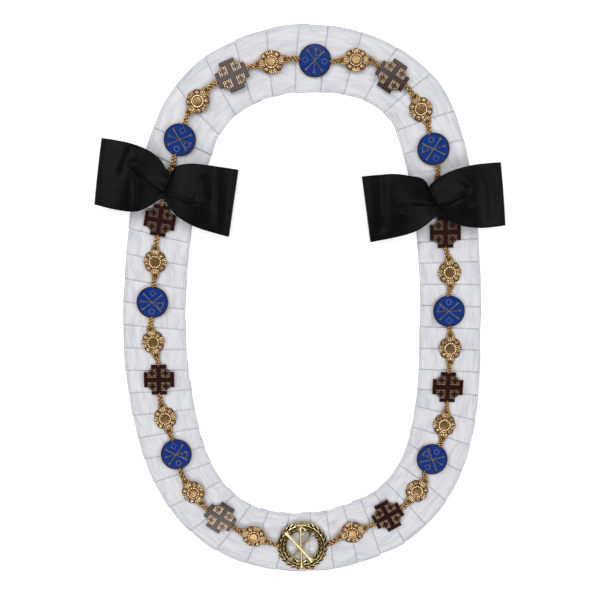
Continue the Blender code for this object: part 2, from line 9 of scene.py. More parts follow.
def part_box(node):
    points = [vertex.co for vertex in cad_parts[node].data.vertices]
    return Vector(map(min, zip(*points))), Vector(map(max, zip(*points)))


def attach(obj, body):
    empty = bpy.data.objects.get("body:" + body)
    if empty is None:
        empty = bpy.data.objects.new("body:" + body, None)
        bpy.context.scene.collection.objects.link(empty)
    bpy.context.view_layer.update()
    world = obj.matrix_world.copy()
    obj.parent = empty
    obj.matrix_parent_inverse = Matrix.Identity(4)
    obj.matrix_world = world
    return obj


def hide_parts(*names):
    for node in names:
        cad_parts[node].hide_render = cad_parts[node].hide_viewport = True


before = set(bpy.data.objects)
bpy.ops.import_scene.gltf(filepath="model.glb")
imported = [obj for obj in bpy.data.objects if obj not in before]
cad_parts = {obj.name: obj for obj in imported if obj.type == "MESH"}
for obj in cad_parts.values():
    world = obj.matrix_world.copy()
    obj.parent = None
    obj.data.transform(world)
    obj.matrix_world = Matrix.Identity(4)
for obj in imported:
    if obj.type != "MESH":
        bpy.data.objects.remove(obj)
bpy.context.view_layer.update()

# Route of the ribbon and the chain on it, the same values as the solids
LOOP_ACROSS = 0.2755
LOOP_UP = 0.4530
RIBBON_WIDTH = 0.0570
ROUTE_STEPS = 12
ROUTE_LOOK = 0.002
LOOP_ROUTE = (
    # across, up, width
    (0.00, 1.00, 1.02),
    (0.26, 0.99, 0.98),
    (0.51, 0.94, 0.94),
    (0.71, 0.845, 0.95),
    (0.83, 0.705, 0.98),
    (0.90, 0.55, 0.985),
    (0.98, 0.235, 0.985),
    (1.00, -0.10, 0.99),
    (0.98, -0.435, 1.015),
    (0.92, -0.60, 1.015),
    (0.805, -0.755, 1.01),
    (0.615, -0.88, 1.02),
    (0.365, -0.955, 1.03),
    (0.095, -0.995, 1.015),
    (-0.185, -0.99, 0.995),
    (-0.45, -0.94, 0.98),
    (-0.67, -0.835, 0.98),
    (-0.82, -0.695, 1.00),
    (-0.91, -0.53, 1.02),
    (-0.995, -0.20, 1.02),
    (-0.985, 0.135, 1.00),
    (-0.915, 0.455, 1.01),
    (-0.85, 0.61, 1.01),
    (-0.74, 0.755, 1.01),
    (-0.575, 0.875, 1.01),
    (-0.35, 0.955, 1.005),
)
FIRST_FOLD = 0.0163
PLEAT_RUNS = (
    # pleats, pitch, lean
    (2, 1.14, 0.12),
    (2, 1.28, 0.20),
    (1, 1.07, 0.22),
    (4, 0.94, 0.12),
    (8, 0.885, 0.11),
    (2, 0.96, 0.22),
    (2, 1.13, 0.36),
    (5, 0.89, 0.20),
    (6, 1.07, 0.30),
    (9, 0.885, 0.22),
    (6, 0.97, 0.28),
    (1, 1.32, 0.08),
    (1, 1.31, 0.55),
    (4, 1.08, 0.38),
)
CHAIN = (
    # kind, station, offset, turn
    ("medallion", 0.0093, -0.049, -4),
    ("rosette", 0.0394, 0.044, 15),
    ("cross", 0.0680, 0.052, -1),
    ("rosette", 0.0998, 0.032, 0),
    ("medallion", 0.1305, -0.003, 0),
    ("rosette", 0.1621, -0.034, 0),
    ("cross", 0.1937, -0.037, -5),
    ("rosette", 0.2246, -0.013, 1),
    ("medallion", 0.2543, -0.032, 2),
    ("rosette", 0.2835, 0.000, 0),
    ("cross", 0.3138, -0.020, 1),
    ("rosette", 0.3440, 0.016, 4),
    ("medallion", 0.3730, -0.020, -8),
    ("rosette", 0.4015, 0.016, -1),
    ("cross", 0.4320, -0.036, -5),
    ("rosette", 0.4636, -0.026, 0),
    ("wreath", 0.5034, 0.020, 0),
    ("rosette", 0.5436, -0.004, -4),
    ("cross", 0.5743, -0.017, 5),
    ("rosette", 0.6040, 0.015, 2),
    ("medallion", 0.6375, -0.017, -3),
    ("rosette", 0.6675, -0.003, 2),
    ("cross", 0.6986, -0.019, -6),
    ("rosette", 0.7281, 0.020, 9),
    ("medallion", 0.7591, 0.025, -2),
    ("rosette", 0.7901, 0.014, 4),
    ("cross", 0.8217, 0.005, -1),
    ("rosette", 0.8530, -0.045, 0),
    ("medallion", 0.8842, 0.000, 5),
    ("rosette", 0.9150, 0.062, 0),
    ("cross", 0.9462, 0.026, -5),
    ("rosette", 0.9769, -0.004, -2),
)
LINK_NAMES = {
    "medallion": "medallion_{:d}",
    "cross": "cross_plate_{:d}",
    "rosette": "rosette_{:02d}",
    "wreath": "wreath_badge",
}
LINK_BACK = 0.0029

# Directions of a link: along the chain, across it and away from the ribbon
ALONG = Vector((1.0, 0.0, 0.0))
OUTWARD = Vector((0.0, 1.0, 0.0))
UPWARD = Vector((0.0, 0.0, 1.0))

# Links, metres
WIRE = 0.0024
FINE_WIRE_HALF = 0.00022
EYELET_REACH = 0.01275
EYELET_RING = 0.0050
EYELET_WIRE = 0.0018
RING_LIFT = 0.0020
RING_WIDTH = 0.0048
RING_TILT = math.radians(30)
RING_TWISTS = 9
TWIST_DEPTH = 0.2
RING_STEPS = 54
RING_SIDES = 10
THREAD_TURNS = (20, 75, 130)
THREAD_REACH = 0.0015
THREAD_RISE = 0.0006
THREAD_WIRE = 0.0011
THREAD_DROP = 0.0007
TAB_STANDOFF = 0.0010
TAB_RING = 0.0042
TAB_WIRE = 0.0014

# Rosette: heights above its back, rises above its ground, and tones, 0 in recesses and 1 on raised parts: low
# tones are painted shade and patina, high tones painted highlight and wear
ROSETTE_RADIUS = 0.0109
ROSETTE_GROUND = 0.0011
SCALLOPS = 8
SCALLOP_DEPTH = 0.025
EDGE_LEVEL = 0.0009
EDGE_SLOPE = 0.024
LUMP_HEIGHT = 0.00035
LUMP_FINENESS = 3400.0
LUMP_WAVES = 9
# Tone that follows the ground's lumps: wear and painted shade
GROUND_WEAR_AND_SHADE = 0.5
BOSS_WEAR = 0.25
BOSS_RADIUS = 0.0042
BOSS_TOP = 0.0028
BOSS_CROWN = 0.00018
BOSS_SHOULDER = 0.88
BOSS_ROLL = 0.0014
BOSS_TONE = 0.33
BEAD_BAND = 0.0018
BEADS = 18
BEAD_LEVEL = 0.0014
# Beads lighter than the dark ground round them: painted highlight
BEAD_TONE = 0.9
BEAD_SIDES = 10
DOME_REACH = 0.0081
DOME_RADIUS = 0.0022
DOME_RISE = 0.0010
DOME_TONE = 0.50
FAN_START = 0.0061
FAN_HALF = math.radians(27)
FAN_RIBS = 5
FAN_ROOT = 0.14
FAN_SPREAD = 0.70
FAN_RISE = 0.0003
FAN_RIB_RISE = 0.0009
FAN_TONE = 1.2
NECK_OUTLINE = ((0.0088, -0.0046), (0.0122, -0.0034), (0.0122, 0.0034), (0.0088, 0.0046))
NECK_TOP = 0.0013
NECK_BEVEL = 0.0005
# Small grains on the neck between the rosette and its eyelet
GRAIN_BASE = 0.0008
GRAIN_FOOT = 0.0014
NECK_GRAINS = (
    # reach, aside, radius
    (0.0102, -0.0034, 0.0013),
    (0.0102, 0.0034, 0.0013),
    (0.0104, -0.0012, 0.0013),
    (0.0104, 0.0012, 0.0013),
    (0.0119, -0.0030, 0.0012),
    (0.0119, 0.0030, 0.0012),
    (0.0138, -0.0025, 0.0011),
    (0.0138, 0.0025, 0.0011),
)

# Medallion
MEDALLION_RADIUS = 0.0146
MEDALLION_RIM = 0.0004
MEDALLION_BEVEL = 0.0006
MEDALLION_SIDES = 96
ENAMEL_LEVEL = 0.0022
RIM_LEVEL = 0.0028
RIM_PROFILE = (
    # inwards from the edge, height, tone
    (0.0004, 0.0, 0.2),
    (0.0, 0.0004, 0.4),
    (0.0, RIM_LEVEL - 0.0003, 0.4),
    (0.0002, RIM_LEVEL, 0.15),
    (MEDALLION_RIM, RIM_LEVEL, 0.15),
    (MEDALLION_RIM + 0.0001, RIM_LEVEL - 0.0001, 0.3),
    (MEDALLION_RIM + MEDALLION_BEVEL, ENAMEL_LEVEL, 0.3),
)
ENAMEL_INTO_RIM = 0.0001
ENAMEL_EDGE = 0.0002
ENAMEL_CROWN = (
    # share of the enamel's radius, rise
    (0.7, 0.0001),
    (0.35, 0.00016),
)
MONOGRAM_ARM = 0.0118
MONOGRAM_STEM = 0.0110
MONOGRAM_SLOPE = math.radians(49)
MONOGRAM_FOOT = 0.0003
MONOGRAM_RISE = 0.0006
MONOGRAM_STEP = 0.0002
MONOGRAM_HALF = 0.0007
MONOGRAM_END_HALF = 0.0017
MONOGRAM_FLARE = 0.0046
RIDGE_SHARE = 0.94
RIDGE_SINK = 0.0002
RIDGE_RISE = 0.00015
MARK_HALF = 0.00045
MARK_REACH = 0.0086
MARK_RADIUS = 0.0023
MARKS = (
    # loop of the rho, ring and lozenge: centre across, centre up, radius, start, end, points, tone
    (0.0022, 0.0075, 0.0026, -140, 140, 14, 0.3),
    (MARK_REACH, 0.0, MARK_RADIUS, 0, 360, 21, 0.35),
    (-MARK_REACH, 0.0, MARK_RADIUS * 1.25, 0, 360, 5, 0.35),
)

# Cross plate
CROSS_HALF = 0.0142
CROSS_PLATE = 0.0022
CROSS_BEVEL = 0.00025
CROSS_ENAMEL = 0.0025
CROSS_ENAMEL_BEVEL = 0.00012
CROSS_INLAY = 0.0004
CROSS_MARGIN = 0.0004
CROSS_BAR = 0.0021
CROSS_HEAD_IN = 0.0111
CROSS_HEAD_HALF = 0.0068
# One corner of the plate, from the top arm to the right arm, as shares of CROSS_HALF
CROSS_CORNER = ((0.505, 1.00), (0.505, 0.74), (0.74, 0.505), (1.00, 0.505))
FIELD_END = 0.0105
FIELD_CUT = 0.0067
FIELD_RIBS = 5
RIB_HALF = 0.00055
RIB_RISE = 0.00003
RIB_SINK = 0.00001
RIB_CLEARANCE = 0.0002
RIB_FROM_BAR = 0.0009
RIB_FROM_END = 0.0007
RIB_UNIT = 0.001
CROSSLET_REACH = 0.0063
CROSSLET_HALF = 0.0028
CROSSLET_BAR = 0.0009
CROSSLET_BORDER = 0.0003
CROSSLET_BEVEL = 0.0001
# Border and enamel of a crosslet
CROSSLET_LAYERS = (
    # growth, top, slot
    (CROSSLET_BORDER, CROSS_ENAMEL - 0.00005, 2),
    (0.0, CROSS_ENAMEL + 0.0001, 1),
)

# Wreath
WREATH_RADIUS = 0.0239
WREATH_BAND = 0.0087
WREATH_CORE_WIRE = 0.0016
WREATH_CORE_LEVEL = 0.0008
WREATH_LEAVES = 13
LEAVES_MIDDLE = (-0.0013, -0.0015)
LEAVES_COVER = 0.98
FIRST_LEAF = 0.45
LEAF_LENGTH = 0.0084
LEAF_HALF = 0.0017
LEAF_RISE = 0.0012
LEAF_FOOT = 0.0014
LEAF_STEPS = 8
# The edge tones are painted highlight: the edge that would catch the light is the lighter one.
LEAF_ROWS = (
    # reach, splay, lift, leaves further on, tones of the inner and outer edge
    (0.0024, 27, 0.0002, 0.0, 0.7, 1.3),
    (-0.0025, -32, 0.0002, 0.2, 1.2, 0.6),
    (0.0, 4, 0.0010, 0.5, 0.6, 1.3),
)
WREATH_TIE = ((-0.0074, 0.0186), (0.0040, 0.0188), (0.0044, 0.0221), (-0.0070, 0.0219))
TIE_LEVELS = (0.0010, 0.0047)
TIE_BEVEL = 0.0009
# The monogram of the wreath, seen with the tie at the top
WREATH_BARS = (
    # The tone column is painted light: the bars that catch the light are lighter, the one in shade darker.
    # start across, start up, end across, end up, thin half, wide half, tone
    (-0.0030, 0.0173, -0.0026, -0.0230, 0.0013, 0.0026, 0.70),
    (0.0098, 0.0124, -0.0135, -0.0153, 0.0012, 0.0036, 0.35),
    (-0.0173, 0.0132, 0.0077, -0.0163, 0.0014, 0.0036, 0.80),
)
BAR_CREST = 0.0040
BAR_STEP = 0.0006
BAR_DEPTH = 0.0018
BAR_FLARE = 0.0062
SERIF_REACH = 1.2
SERIF_HALF = 0.0011
SERIF_LEVEL = 0.0020
RHO_MIDDLE = (-0.0022, 0.0138)
RHO_RADIUS = 0.0037
RHO_LEVELS = (0.0032, 0.0044)
# Row of small rings at the foot of the wreath
KNOTS = 5
KNOT_PITCH = 0.0034
KNOTS_MIDDLE = (0.0010, -0.0233)
KNOT_DROP = 0.0003
KNOT_RADIUS = 0.0011
KNOT_HALF = 0.0006
KNOT_LEVELS = (0.0006, 0.0030)

# Tilts of the plates that catch the light: degrees about the local X and Y axes
TILTS = {
    "cross_plate_1_enamelled": (-3.3, 0.0),
    "cross_plate_4_enamelled": (2.0, 0.0),
    "cross_plate_5_enamelled": (-1.8, 0.0),
    "cross_plate_8_enamelled": (-5.0, 0.0),
    "rosette_01_cast": (-7.0, 0.0),
    "rosette_08_cast": (-3.5, 0.0),
    "rosette_09_cast": (-7.5, 0.0),
    "rosette_10_cast": (-5.0, 0.0),
    "rosette_15_cast": (-6.0, 0.0),
    "rosette_16_cast": (-6.0, 0.0),
    "wreath_badge_cast": (-1.5, 0.0),
}

# Pleated ribbon
SILK = 0.00025
PLEAT_SKEW = 0.0003
# Heights of one pleat: its crest, the fall to the next fold, the dip at its end, the swell and the cockle
PLEAT_SIZES = {"Crest": 0.0027, "Fall": 0.0012, "Dip": 0.0005, "Swell": 0.0003, "Cockle": 0.0004, "Seed": 7.0}
DIP_START = 0.88
COCKLE_FINENESS = 45.0
# Small wanderings of the cloth from the solids' route, millimetres
NUDGES = (
    # station, outwards, wider
    (0.000, -0.5, 1.4),
    (0.040, -0.4, 1.4),
    (0.070, 0.3, 0.4),
    (0.100, 0.9, 0.0),
    (0.150, 0.7, -0.2),
    (0.200, 0.1, 0.2),
    (0.330, 0.0, 0.2),
    (0.380, 1.2, 0.2),
    (0.430, 1.0, 0.3),
    (0.500, 0.3, 0.6),
    (0.590, 1.0, 0.3),
    (0.640, 0.7, 0.0),
    (0.720, -0.2, 0.3),
    (0.850, -0.6, 0.2),
    (0.866, -2.9, 0.2),
    (0.885, -2.7, 0.0),
    (0.902, -0.7, -0.6),
    (0.950, 0.0, 0.0),
)
# Section of the tuck after a panel: on past the next fold, and back again to rise to the next crest
TUCK = (
    # distance past the next fold, height
    (0.0015, 0.0009),
    (0.0045, 0.0006),
    (0.0080, 0.0004),
    (0.0085, 0.0005),
    (0.0078, 0.0007),
    (0.0040, 0.0011),
    (0.0008, 0.0018),
    (-0.0001, 0.0022),
)
# Places counted in pleats from a fold: where its panel starts, how long it is, and what the tuck is aimed at
PANEL_START = 0.02
PANEL_SPAN = 0.975
TUCK_AIM = 1.2
PANEL_STEPS = 12
ACROSS_STEPS = 24
STITCH_COLUMNS = (1, ACROSS_STEPS - 1)
STITCH_SIZES = {"Pitch": 0.0029, "Length": 0.0013, "Thickness": 0.0007}
STITCH_LIFT = 0.0001

# Moire: the pitch of its crosswise ribs and how far the streaks waver, in metres, and how fine its forms are
SILK_RIB_PITCH = 0.0007
CREASE_FINENESS = (260.0, 40.0, 1.0)
WAVER = 0.016
WAVER_FINENESS = (30.0, 70.0, 1.0)
STREAKS = (
    # fineness along, fineness across, share
    (28.0, 110.0, 0.35),
    (50.0, 320.0, 0.45),
    (120.0, 900.0, 0.20),
)

# Bows
WING_REACH = 0.0613
BOW_HALF = 0.0285
BOW_CLOTH = 0.0005
BOW_DEPTH = 0.0125
BOW_DROP = 0.0026
BOW_REST = 0.0074
WING_STEPS = 72
WING_COLUMNS = 61
WING_SINK = 0.0020
WING_LOWEST = 0.0018
CROWN_RISE = 0.0022
CROWN_GROWTH = 3
# Small upright folds where a wing is gathered
GATHER_RISE = 0.0004
GATHER_REACH = 0.22
GATHER_WAVES = 5.5
# Fold at the end of a wing, which starts at a share of the reach, and the back under it
FOLD_RADIUS = 0.0026
FOLD_START = 0.85
FOLD_SPAN = 0.15
FOLD_STEPS = 9
BACK_LEVEL = BOW_CLOTH / 2 + 0.0004
BACK_SHARE = 0.985
BACK_STRIDE = 3
# Gathered cloth over the stitch, in its flat size and as it lies
GATHER_FLAT = (0.0115, 0.0190)
MIDDLE_HALF = 0.0032
MIDDLE_TOP = 0.0044
MIDDLE_ROUNDNESS = 0.85
MIDDLE_FOLDS = 0.0003
MIDDLE_WAVES = 7.0
PINCH_PLACE = 0.03
PINCH_SPAN = 0.20
PINCH_NARROWS = 0.5
PINCH_LOWERS = 0.3
MIDDLE_STEPS = 25
MIDDLE_COLUMNS = 21
WING_PLANS = {
    # top reach, top, bottom reach, bottom, front, back
    "left_outer": (
        (-0.03, 0.58, -0.01, -0.21, 0.30, 0.0),
        (0.05, 0.75, 0.06, -0.33, 0.48, 0.0),
        (0.14, 0.96, 0.16, -0.55, 0.66, 0.0),
        (0.32, 1.15, 0.32, -0.80, 0.90, 0.15),
        (0.60, 1.24, 0.58, -0.88, 1.00, 0.55),
        (1.044, 1.205, 0.957, -0.89, 0.42, 1.0),
    ),
    "left_inner": (
        (0.05, 0.58, 0.02, -0.21, 0.30, 0.0),
        (0.08, 0.74, 0.10, -0.36, 0.48, 0.0),
        (0.14, 0.90, 0.19, -0.53, 0.66, 0.0),
        (0.32, 1.05, 0.34, -0.70, 0.90, 0.15),
        (0.60, 1.13, 0.62, -0.86, 1.00, 0.55),
        (1.00, 1.20, 1.075, -0.935, 0.42, 1.0),
    ),
    "right_inner": (
        (0.09, 0.56, -0.03, -0.38, 0.30, 0.0),
        (0.13, 0.72, 0.06, -0.45, 0.48, 0.0),
        (0.20, 0.86, 0.15, -0.58, 0.66, 0.0),
        (0.36, 0.96, 0.33, -0.77, 0.90, 0.15),
        (0.62, 1.08, 0.60, -0.89, 1.00, 0.55),
        (1.044, 1.11, 1.014, -0.985, 0.42, 1.0),
    ),
    "right_outer": (
        (-0.07, 0.56, 0.05, -0.38, 0.30, 0.0),
        (0.00, 0.72, 0.12, -0.48, 0.48, 0.0),
        (0.13, 0.88, 0.20, -0.62, 0.66, 0.0),
        (0.34, 1.02, 0.34, -0.78, 0.90, 0.15),
        (0.62, 1.09, 0.62, -0.905, 1.00, 0.55),
        (0.998, 1.08, 0.993, -0.92, 0.42, 1.0),
    ),
}
BOWS = (
    # name, station, offset, turn, left wing, right wing
    ("bow_right", 0.1710, -0.144, 6.2, "right_inner", "right_outer"),
    ("bow_left", 0.8438, 0.007, -13.0, "left_outer", "left_inner"),
)
# Creases of the wings: the rise and the widths of the two flanks in millimetres, first the one on the left of
# the way along the line, and the line's points in the wing's plan as reach and height
CREASE_FADE = 9.0
CREASES = {
    "left_outer": (
        # rise, left flank, right flank, line
        (3.6, 12.0, 2.2, ((-0.12, -0.08), (0.00, 0.03), (0.21, 0.25), (0.48, 0.58), (0.58, 0.72))),
        (-1.7, 2.6, 4.5, ((0.57, 1.25), (0.61, 0.68), (0.63, 0.34), (0.62, 0.00))),
        (-1.6, 2.6, 3.6, ((0.50, 0.62), (0.42, 0.12), (0.36, -0.48), (0.38, -0.80))),
    ),
    "left_inner": (
        (3.6, 13.0, 2.2, ((-0.12, -0.05), (0.00, 0.00), (0.20, 0.05), (0.40, -0.03), (0.60, -0.08))),
        (-1.6, 3.6, 2.4, ((0.54, 0.82), (0.575, 0.30), (0.60, -0.10))),
        (0.8, 1.3, 1.8, ((0.60, 0.80), (0.742, 0.29), (0.713, -0.09), (0.60, -0.25))),
        (-1.7, 3.6, 2.4, ((0.67, 1.35), (0.77, 0.40), (0.845, -0.29), (0.87, -0.75))),
    ),
    "right_inner": (
        (3.4, 11.0, 1.5, ((-0.12, -0.05), (0.00, 0.00), (0.39, 0.14), (0.56, -0.18))),
        (1.0, 3.0, 1.4, ((0.68, 1.05), (0.685, 0.27), (0.56, -0.20))),
        (-2.2, 5.0, 3.5, ((0.78, 1.30), (0.81, 0.30), (0.85, -0.85))),
    ),
    "right_outer": (
        (3.6, 12.0, 3.4, ((-0.12, -0.05), (0.00, 0.00), (0.19, 0.065), (0.36, 0.24), (0.50, 0.50))),
        (-1.5, 6.0, 5.0, ((0.68, 1.25), (0.78, 0.43), (0.79, -0.23), (0.76, -0.85))),
        (0.8, 2.0, 1.2, ((0.34, 0.10), (0.50, -0.17), (0.64, -0.12))),
        (0.9, 1.6, 2.2, ((0.78, 0.12), (1.02, 0.00))),
    ),
}

# Camera, metres from the plane's middle as the photograph shows it
VIEW_MIDDLE = (-0.00115, 0.00765)
VIEW_DISTANCE = 0.7812
VIEW_LEAN = math.radians(7.0)
LENS = 50.4
SENSOR = 36.0

# Stage
FLOOR_HALF = 9.0
TABLE_GLOW = 0.45
SKY_GLOW = 0.12
SOFTBOXES = (
    # name, place, width, height, radiance
    ("left_softbox", (-1.55, 0.45, 1.5), 1.8, 1.2, 2.6),
    ("right_softbox", (1.6, 0.0, 1.5), 1.8, 1.2, 2.75),
    ("far_softbox", (0.0, 1.27, 2.0), 1.6, 1.2, 2.65),
    ("near_softbox", (-0.1, -1.60, 1.95), 1.6, 1.0, 3.85),
    ("key_strip", (-1.25, 1.25, 1.3), 0.35, 0.14, 20.0),
)


# Route


def route_samples():
    """Stations along the smooth closed centreline, its points with the width, and its length."""
    knots = np.array([(a * LOOP_ACROSS / 2, u * LOOP_UP / 2, w * RIBBON_WIDTH) for a, u, w in LOOP_ROUTE])
    count = len(knots)
    chord = np.array([math.dist(knots[i][:2], knots[(i + 1) % count][:2]) for i in range(count)])
    slopes = []
    for i in range(count):
        before, ahead = knots[i - 1], knots[(i + 1) % count]
        step_in, step_out = chord[i - 1], chord[i]
        slopes.append((ahead - knots[i]) / step_out - (ahead - before) / (step_in + step_out)
                      + (knots[i] - before) / step_in)
    points = []
    for i in range(count):
        start, end = knots[i], knots[(i + 1) % count]
        leave, arrive = slopes[i] * chord[i], slopes[(i + 1) % count] * chord[i]
        for k in range(ROUTE_STEPS):
            t = k / ROUTE_STEPS
            points.append(start * (2 * t ** 3 - 3 * t ** 2 + 1) + leave * (t ** 3 - 2 * t ** 2 + t)
                          + end * (3 * t ** 2 - 2 * t ** 3) + arrive * (t ** 3 - t ** 2))
    points.append(points[0])
    points = np.array(points)
    steps = np.hypot(*np.diff(points[:, :2], axis=0).T)
    reached = np.concatenate(([0.0], np.cumsum(steps)))
    return reached / reached[-1], points


STATIONS, ROUTE = route_samples()


def on_route(station):
    """Point, direction and width of the ribbon's centreline at a station."""
    def read(share):
        return [float(np.interp(share % 1.0, STATIONS, ROUTE[:, k])) for k in range(3)]
    x, y, width = read(station)
    near, far = read(station - ROUTE_LOOK), read(station + ROUTE_LOOK)
    along = Vector((far[0] - near[0], far[1] - near[1])).normalized()
    return Vector((x, y)), along, width


def outwards(along):
    return Vector((-along.y, along.x))


def route_place(station, offset, turn):
    """Centre and angle of something that lies on the ribbon, before the shift to the frame."""
    point, along, _ = on_route(station)
    return point + outwards(along) * offset * RIBBON_WIDTH, math.atan2(along.y, along.x) + math.radians(turn)


def frame_shift():
    """How far the frame's origin lies from the route's, read from the first medallion's box."""
    low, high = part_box("medallion_1")
    centre, _ = route_place(*CHAIN[0][1:])
    return (low.xy + high.xy) / 2 - centre


SHIFT = frame_shift()


def link_place(link):
    centre, angle = route_place(*link[1:])
    return centre + SHIFT, angle


def fold_lines():
    """Station and lean of every fold, clockwise."""
    total = sum(count * pitch for count, pitch, lean in PLEAT_RUNS)
    pleats = sum(count for count, pitch, lean in PLEAT_RUNS)
    folds = []
    reached = FIRST_FOLD
    for count, pitch, lean in PLEAT_RUNS:
        for _ in range(count):
            folds.append((reached, lean / pleats))
            reached += pitch / total
    return folds


# Meshes


def grid_faces(rows, columns, wrap_rows=False, wrap_columns=False):
    """Quads of a grid of points, row after row."""
    faces = []
    for a in range(rows if wrap_rows else rows - 1):
        for b in range(columns if wrap_columns else columns - 1):
            c, d = (a + 1) % rows, (b + 1) % columns
            faces.append((a * columns + b, a * columns + d, c * columns + d, c * columns + b))
    return faces


def bar_faces(rows, columns):
    """Faces of a closed bar whose sections run from one lower edge over the top to the other."""
    faces = [tuple(reversed(face)) for face in grid_faces(rows, columns, wrap_columns=True)]
    faces.append(tuple(range(columns)))
    faces.append(tuple(reversed(range((rows - 1) * columns, rows * columns))))
    return faces


class Shape:
    """Points and faces of one piece; each form added to it has a material and a tone."""

    def __init__(self):
        self.points = []
        self.faces = []
        self.slots = []
        self.tones = []

    def add(self, points, faces, slot=0, tone=1.0):
        base = len(self.points)
        self.points.extend(tuple(float(v) for v in point) for point in points)
        self.faces.extend(tuple(int(i) + base for i in face) for face in faces)
        self.slots.extend([slot] * len(faces))
        self.tones.extend([tone] * len(points) if np.isscalar(tone) else [float(t) for t in tone])

    def add_mesh(self, mesh, slot=0, mirror=(1, 1)):
        """Add a finished mesh with its tones, mirrored where an axis is -1."""
        x, y = mirror
        points = [(vertex.co.x * x, vertex.co.y * y, vertex.co.z) for vertex in mesh.vertices]
        faces = [tuple(polygon.vertices)[::x * y] for polygon in mesh.polygons]
        self.add(points, faces, slot=slot, tone=[entry.value for entry in mesh.attributes["tone"].data])

    def build(self, name, materials, matrix, smooth_degrees=40):
        mesh = bpy.data.meshes.new(name)
        mesh.from_pydata(self.points, [], self.faces)
        for material in materials:
            mesh.materials.append(material)
        mesh.polygons.foreach_set("material_index", self.slots)
        mesh.polygons.foreach_set("use_smooth", [True] * len(mesh.polygons))
        tone = mesh.attributes.new("tone", "FLOAT", "POINT")
        tone.data.foreach_set("value", self.tones)
        mesh.transform(matrix)
        mesh.update()
        mesh.set_sharp_from_angle(angle=math.radians(smooth_degrees))
        item = bpy.data.objects.new(name, mesh)
        bpy.context.collection.objects.link(item)
        return item


def lathe(rows, sides, centre=(0.0, 0.0)):
    """Rings of one radius and height each, closed by a face at both ends."""
    across, up = centre
    points = []
    for radius, height in rows:
        for k in range(sides):
            angle = 2 * math.pi * k / sides
            points.append((across + radius * math.cos(angle), up + radius * math.sin(angle), height))
    faces = grid_faces(len(rows), sides, wrap_columns=True)
    faces.append(tuple(reversed(range(sides))))
    faces.append(tuple(range((len(rows) - 1) * sides, len(rows) * sides)))
    return points, faces


def inset_outline(outline, distance):
    """Outline moved inwards by a distance; the outline runs counter-clockwise."""
    moved = []
    for i, point in enumerate(outline):
        before, ahead = outline[i - 1], outline[(i + 1) % len(outline)]
        a, b = (point - before).normalized(), (ahead - point).normalized()
        left_a, left_b = Vector((-a.y, a.x)), Vector((-b.y, b.x))
        moved.append(point + (left_a + left_b) * distance / max(0.3, 1 + left_a.dot(left_b)))
    return moved


def plate(outline, low, high, bevel):
    """Flat plate with a plan outline and a bevelled upper edge."""
    outline = [Vector(point) for point in outline]
    turns = sum(a.x * b.y - b.x * a.y for a, b in zip(outline, outline[1:] + outline[:1]))
    if turns < 0:
        outline.reverse()
    count = len(outline)
    rows = ((outline, low), (outline, high - bevel), (inset_outline(outline, bevel), high))
    points = [(p.x, p.y, z) for row, z in rows for p in row]
    faces = grid_faces(3, count, wrap_columns=True)
    faces.append(tuple(range(2 * count, 3 * count)))
    faces.append(tuple(reversed(range(count))))
    return points, faces


def ring(centre, across, up, half_across, half_up, wire, steps, sides, twists=0):
    """Round or oval wire ring about a centre, in the plane of two directions, plain or of twisted wire."""
    normal = across.cross(up).normalized()
    points = []
    for i in range(steps):
        angle = 2 * math.pi * i / steps
        core = centre + across * half_across * math.cos(angle) + up * half_up * math.sin(angle)
        away = (across * half_up * math.cos(angle) + up * half_across * math.sin(angle)).normalized()
        for k in range(sides):
            turn = 2 * math.pi * k / sides
            swell = TWIST_DEPTH * math.cos(angle * twists + turn) if twists else 0.0
            points.append(core + (away * math.cos(turn) + normal * math.sin(turn)) * wire / 2 * (1 + swell))
    return points, grid_faces(steps, sides, wrap_rows=True, wrap_columns=True)


def trumpet(start, end, half_middle, half_end, flare, low, crest):
    """Rounded bar whose width grows at both ends, over a stretch called flare."""
    start, end = Vector(start), Vector(end)
    run = end - start
    length = run.length
    along = run / length
    side = Vector((-along.y, along.x))
    profile = ((-1.0, 0.0), (-0.92, 0.40), (-0.70, 0.75), (-0.35, 0.94), (0.0, 1.0),
               (0.35, 0.94), (0.70, 0.75), (0.92, 0.40), (1.0, 0.0))
    stations = sorted(set([flare * k / 5 for k in range(6)] + [length - flare * k / 5 for k in range(6)]))
    points = []
    for reach in stations:
        near = min(reach, length - reach) / flare
        half = half_middle + (half_end - half_middle) * max(0.0, 1.0 - near) ** 2
        for across, rise in profile:
            spot = start + along * reach + side * across * half
            points.append((spot.x, spot.y, low + (crest - low) * rise))
    return points, bar_faces(len(stations), len(profile))


def band(route, half, low, crest):
    """Rounded bar of even width along an open run of points."""
    route = [Vector(point) for point in route]
    profile = ((-1.0, 0.0), (-0.8, 0.6), (0.0, 1.0), (0.8, 0.6), (1.0, 0.0))
    points = []
    for i, point in enumerate(route):
        along = (route[min(i + 1, len(route) - 1)] - route[max(i - 1, 0)]).normalized()
        side = Vector((-along.y, along.x))
        for across, rise in profile:
            spot = point + side * across * half
            points.append((spot.x, spot.y, low + (crest - low) * rise))
    return points, bar_faces(len(route), len(profile))


def arc(centre, radius, start, end, steps):
    """Points of an arc, its angles in degrees."""
    angles = np.radians(np.linspace(start, end, steps))
    return [(centre[0] + radius * math.cos(a), centre[1] + radius * math.sin(a)) for a in angles]


def smooth_rows(rows, steps):
    """Table rows read at even steps along a smooth curve through them."""
    rows = np.array(rows)
    places = np.linspace(0, len(rows) - 1, steps)
    read = []
    for place in places:
        i = min(int(place), len(rows) - 2)
        t = place - i
        before, start, end = rows[max(i - 1, 0)], rows[i], rows[i + 1]
        after = rows[min(i + 2, len(rows) - 1)]
        square = 2 * before - 5 * start + 4 * end - after
        cube = 3 * start - before - 3 * end + after
        read.append(0.5 * (2 * start + (end - before) * t + square * t ** 2 + cube * t ** 3))
    return np.array(read)


# Materials


def new_material(name):
    material = bpy.data.materials.new(name)
    material.use_nodes = True
    tree = material.node_tree
    return material, tree, tree.nodes["Principled BSDF"]


